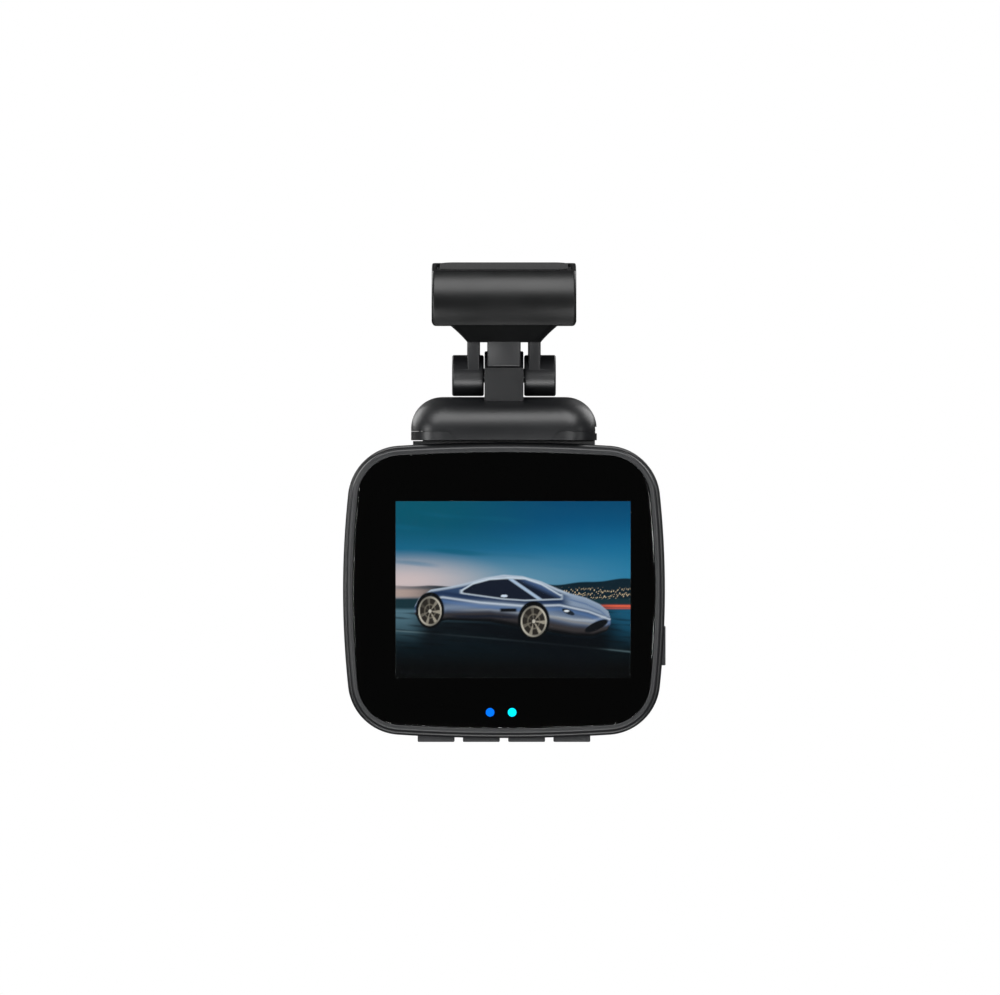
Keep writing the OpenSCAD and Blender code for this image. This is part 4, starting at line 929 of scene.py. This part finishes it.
def acrylicFoam():
    # closed-cell foam tape: small round pores over a matt black body, so it drinks the light
    f = foam
    mat, tree, shader, coords = newMaterial("Closed-cell acrylic foam tape")
    cells = add(tree, "TexVoronoi", {"Vector": coords, "Scale": perMm(f["cellSize"])}, feature="F1")
    pore = cells.outputs["Distance"]
    tint = add(tree, "Mix", {0: pore, 6: srgb(f["skin"]), 7: srgb(f["cell"])}, data_type="RGBA")
    bump = add(tree, "Bump", {"Height": pore, "Strength": f["strength"], "Distance": f["lift"] * mm})
    fill(tree, shader, {"Base Color": tint.outputs[2], "Normal": bump.outputs["Normal"],
                        "Roughness": f["roughness"], "IOR": f["ior"]})
    return mat


# tint, roughness, IOR and coating thickness in nanometres: the coating gives the coloured glint
clears = {
    "cover_glass": ("Chemically toughened cover glass", "#F4F8F8", 0.0, 1.51, 0.0),
    "lens_window": ("Flat window, hard coated", "#EEF4F6", 0.0, 1.52, 160.0),
    "coated_lens": ("Moulded lens, anti-reflection coated", "#E9E6F6", 0.0, 1.62, 330.0),
    "filter_glass": ("Infrared-cut filter glass", "#A6D6CC", 0.02, 1.52, 420.0),
}
haze = {"size": 14.0, "squash": (1, 1, 0.35), "detail": 4.0, "from": 0.45, "to": 0.8, "gain": 0.03,
        "filmIor": 1.38}


def clearGlass(slot):
    # light passes through; a stretched noise leaves faint wiping marks, seen only in the gloss
    title, tint, rough, ior, film = clears[slot]
    mat, tree, shader, coords = newMaterial(title)
    wiped = add(tree, "Mapping", {"Vector": coords, "Scale": haze["squash"]}).outputs["Vector"]
    marks = add(tree, "TexNoise", {"Vector": wiped, "Scale": perMm(haze["size"]), "Detail": haze["detail"]})
    gloss = add(tree, "MapRange", {"Value": marks.outputs["Fac"], "From Min": haze["from"],
                                   "From Max": haze["to"], "To Min": rough, "To Max": rough + haze["gain"]})
    fill(tree, shader, {"Base Color": srgb(tint), "Transmission Weight": 1.0, "IOR": ior,
                        "Roughness": gloss.outputs["Result"]})
    if film:
        fill(tree, shader, {"Thin Film Thickness": film, "Thin Film IOR": haze["filmIor"]})
    return mat


display = {"glow": 1.0, "dark": "#050607", "roughness": 0.6}


def displayCell():
    # the light comes from each point's own colour, over a near black, matt cell
    mat, tree, shader, coords = newMaterial("Liquid crystal cell, backlit")
    tint = add(tree, "VertexColor", layer_name="screenColour").outputs["Color"]
    fill(tree, shader, {"Base Color": srgb(display["dark"]), "Roughness": display["roughness"],
                        "Specular IOR Level": 0.0, "Emission Color": tint,
                        "Emission Strength": display["glow"]})
    return mat


# name, body colour, colour of the light and its strength
lamps = {"blue_light": ("Blue light pipe", "#0A6FD0", "#0078DC", 1.0),
         "cyan_light": ("Cyan light pipe", "#1BC3DA", "#00E1F5", 1.0)}
frosting = {"size": 0.25, "low": 0.35, "high": 0.5, "ior": 1.49}


def lightPipe(slot):
    # frosted acrylic lit from behind: an even glow with no sharp highlight
    title, base, glow, strength = lamps[slot]
    mat, tree, shader, coords = newMaterial(title)
    frost = add(tree, "TexNoise", {"Vector": coords, "Scale": perMm(frosting["size"])}).outputs["Fac"]
    rough = add(tree, "MapRange", {"Value": frost, "To Min": frosting["low"], "To Max": frosting["high"]})
    fill(tree, shader, {"Roughness": rough.outputs["Result"], "Base Color": srgb(base), "IOR": frosting["ior"],
                        "Emission Color": srgb(glow), "Emission Strength": strength})
    return mat


board = {"mask": "#11452F", "track": "#1C6344", "pad": "#C9A85A", "trackPitch": 1.3,
         "trackEdge": (0.28, 0.34), "viaPitch": 2.4, "viaEdge": (0.10, 0.13), "viaLoose": 0.6,
         "mortar": 0.035, "lift": 0.03, "strength": 0.5, "roughness": 0.32, "ior": 1.55}


def circuitBoard():
    # green solder mask shines over raised copper tracks, with small gold vias
    b = board
    mat, tree, shader, coords = newMaterial("Solder-masked fibreglass board")
    cells = add(tree, "TexBrick", {"Vector": coords, "Scale": perMm(b["trackPitch"] * 4),
                                   "Mortar Size": b["mortar"], "Color1": (1, 1, 1, 1),
                                   "Color2": (0.6, 0.6, 0.6, 1), "Mortar": (0, 0, 0, 1)})
    bends = add(tree, "TexVoronoi", {"Vector": coords, "Scale": perMm(b["trackPitch"] * 2)},
                distance="MANHATTAN", feature="F1")
    spots = add(tree, "TexVoronoi", {"Vector": coords, "Scale": perMm(b["viaPitch"]),
                                     "Randomness": b["viaLoose"]}, feature="F1")
    track, via = (add(tree, "MapRange", {"Value": cell.outputs["Distance"], "From Min": edge[0],
                                         "From Max": edge[1], "To Min": 1, "To Max": 0}).outputs["Result"]
                  for cell, edge in ((bends, b["trackEdge"]), (spots, b["viaEdge"])))
    mask = add(tree, "Mix", {0: track, 6: srgb(b["mask"]), 7: srgb(b["track"])}, data_type="RGBA").outputs[2]
    tint = add(tree, "Mix", {0: via, 6: mask, 7: srgb(b["pad"])}, data_type="RGBA").outputs[2]
    height = add(tree, "Math", {0: track, 1: cells.outputs["Fac"]}, operation="ADD").outputs[0]
    bump = add(tree, "Bump", {"Height": height, "Strength": b["strength"], "Distance": b["lift"] * mm})
    fill(tree, shader, {"Base Color": tint, "Metallic": via, "Normal": bump.outputs["Normal"],
                        "Roughness": b["roughness"], "IOR": b["ior"]})
    return mat


flexFilm = {"film": "#B4762A", "copper": "#CF9040", "pitch": 0.5, "lift": 0.02, "strength": 0.4,
            "roughness": 0.28, "ior": 1.7}


def flexCircuit():
    # glossy amber film with parallel copper lines showing through; one wave is 6.28 of the pattern's units
    f = flexFilm
    mat, tree, shader, coords = newMaterial("Polyimide flexible circuit")
    waves = add(tree, "TexWave", {"Vector": coords, "Scale": perMm(f["pitch"] * 6.28)}, bands_direction="Z")
    lines = waves.outputs["Fac"]
    tint = add(tree, "Mix", {0: lines, 6: srgb(f["film"]), 7: srgb(f["copper"])}, data_type="RGBA")
    bump = add(tree, "Bump", {"Height": lines, "Strength": f["strength"], "Distance": f["lift"] * mm})
    fill(tree, shader, {"Base Color": tint.outputs[2], "Normal": bump.outputs["Normal"],
                        "Roughness": f["roughness"], "IOR": f["ior"]})
    return mat


extrusion = {"colour": "#C2C5C8", "dark": "#A8ABAF", "dieLine": 0.35, "drawn": (1, 1, 0.02), "low": 0.28,
             "high": 0.42, "lift": 0.01, "strength": 0.5}


def extrudedMetal():
    # die lines run along the fins and stretch the highlight across them
    e = extrusion
    mat, tree, shader, coords = newMaterial("Extruded aluminium, natural")
    along = add(tree, "Mapping", {"Vector": coords, "Scale": e["drawn"]}).outputs["Vector"]
    lines = add(tree, "TexNoise", {"Vector": along, "Scale": perMm(e["dieLine"]), "Detail": 3.0}).outputs["Fac"]
    tint = add(tree, "Mix", {0: lines, 6: srgb(e["dark"]), 7: srgb(e["colour"])}, data_type="RGBA")
    rough = add(tree, "MapRange", {"Value": lines, "To Min": e["low"], "To Max": e["high"]})
    bump = add(tree, "Bump", {"Height": lines, "Strength": e["strength"], "Distance": e["lift"] * mm})
    fill(tree, shader, {"Base Color": tint.outputs[2], "Roughness": rough.outputs["Result"],
                        "Normal": bump.outputs["Normal"], "Metallic": 1.0})
    return mat


finishes = {slot: grained(slot) for slot in plastics}
finishes.update({slot: clearGlass(slot) for slot in clears})
finishes.update({slot: lightPipe(slot) for slot in lamps})
finishes.update({"foam_tape": acrylicFoam(), "lcd_glass": displayCell(), "circuit_board": circuitBoard(),
                 "polyimide_flex": flexCircuit(), "extruded_aluminium": extrudedMetal()})
panelGlass = grained("mask_print", "Panel glass rim")
shadedHeadFinish = grained("head_abs_painted_shade", specular=0.36)   # a darker, less shiny copy of the housing ABS: painted shade on the head, which catches less light than the rest
for obj, slotName in pieces.values():
    obj.data.materials.clear()
    obj.data.materials.append(shadedHeadFinish if obj.name == "mountHead" else finishes[slotName])
for node, obj in nodes.items():
    finish = panelGlass if node == "lcd_panel" else finishes[slotOf[node]]
    if not obj.material_slots:
        obj.data.materials.append(None)
    for holder in obj.material_slots:
        holder.link = "OBJECT"
        holder.material = finish
print("materials done:", len(finishes))

# degrees round and up from the screen's side, distance and size in metres, power in watts
lights = {"overhead": dict(azimuth=0, elevation=72, distance=0.9, width=1.1, height=0.56, power=9.5),
          "leftStrip": dict(azimuth=-64, elevation=14, distance=0.8, width=0.16, height=0.5, power=2.2),
          "rightStrip": dict(azimuth=62, elevation=12, distance=0.8, width=0.16, height=0.5, power=0.45),
          "frontFill": dict(azimuth=24, elevation=6, distance=1.1, width=0.5, height=0.2, power=2.6),
          "frontFillLeft": dict(azimuth=-24, elevation=2, distance=1.1, width=0.4, height=0.2, power=2.2),
          "lowFill": dict(azimuth=0, elevation=-38, distance=0.9, width=0.9, height=0.16, power=5.5),
          "backLeft": dict(azimuth=-138, elevation=24, distance=1.0, width=0.6, height=0.5, power=3.0),
          "backRight": dict(azimuth=138, elevation=30, distance=1.0, width=0.6, height=0.5, power=2.6)}
aim = np.array([0.0, 0.0, -0.055])


def addLight(name, azimuth, elevation, distance, width, height, power):
    # a soft box on a sphere about the object; azimuth 0 is the screen's side
    a, e = math.radians(azimuth), math.radians(elevation)
    direction = np.array([math.sin(a) * math.cos(e), -math.cos(a) * math.cos(e), math.sin(e)])
    data = bpy.data.lights.new(name, "AREA")
    data.shape = "RECTANGLE"
    data.size, data.size_y, data.energy = width, height, power
    obj = bpy.data.objects.new(name, data)
    bpy.context.scene.collection.objects.link(obj)
    obj.location = aim + direction * distance
    obj.rotation_euler = Vector(direction).to_track_quat("Z", "Y").to_euler()


for name, spec in lights.items():
    addLight(name, **spec)

floor = {"level": -160.0, "reach": 4000.0, "colour": "#FFFFFF"}
room = {"seen": 1.0, "ambient": 0.05}


def addFloor():
    # one wide square of evenly lit paper, seen by the camera alone and clear from below
    f = floor
    u = np.array([-f["reach"], f["reach"]])
    verts = [(x, y, f["level"]) for y in u for x in u]
    mesh = bpy.data.meshes.new("paleFloor")
    mesh.from_pydata((np.array(verts) * mm).tolist(), [], [(0, 1, 3, 2)])
    obj = bpy.data.objects.new("paleFloor", mesh)
    bpy.context.scene.collection.objects.link(obj)
    mat = bpy.data.materials.new("Pale sweep paper")
    mat.use_nodes = True
    tree = mat.node_tree
    tree.nodes.remove(tree.nodes["Principled BSDF"])
    paper = add(tree, "Emission", {"Color": srgb(f["colour"])}).outputs[0]
    clear = add(tree, "BsdfTransparent").outputs[0]
    under = add(tree, "NewGeometry").outputs["Backfacing"]
    both = add(tree, "MixShader", {0: under, 1: paper, 2: clear}).outputs[0]
    tree.links.new(both, tree.nodes["Material Output"].inputs["Surface"])
    mesh.materials.append(mat)
    obj.visible_diffuse = obj.visible_glossy = obj.visible_transmission = obj.visible_shadow = False


def addRoom():
    # white where the camera looks past the object, dim grey as light
    world = bpy.data.worlds.new("studio")
    world.use_nodes = True
    tree = world.node_tree
    background = tree.nodes["Background"]
    seen = add(tree, "LightPath").outputs["Is Camera Ray"]
    strength = add(tree, "MapRange", {"Value": seen, "To Min": room["ambient"], "To Max": room["seen"]})
    fill(tree, background, {"Color": (1, 1, 1, 1), "Strength": strength.outputs["Result"]})
    bpy.context.scene.world = world


addFloor()
addRoom()
bpy.context.scene.view_settings.view_transform = "Standard"
print("room done")

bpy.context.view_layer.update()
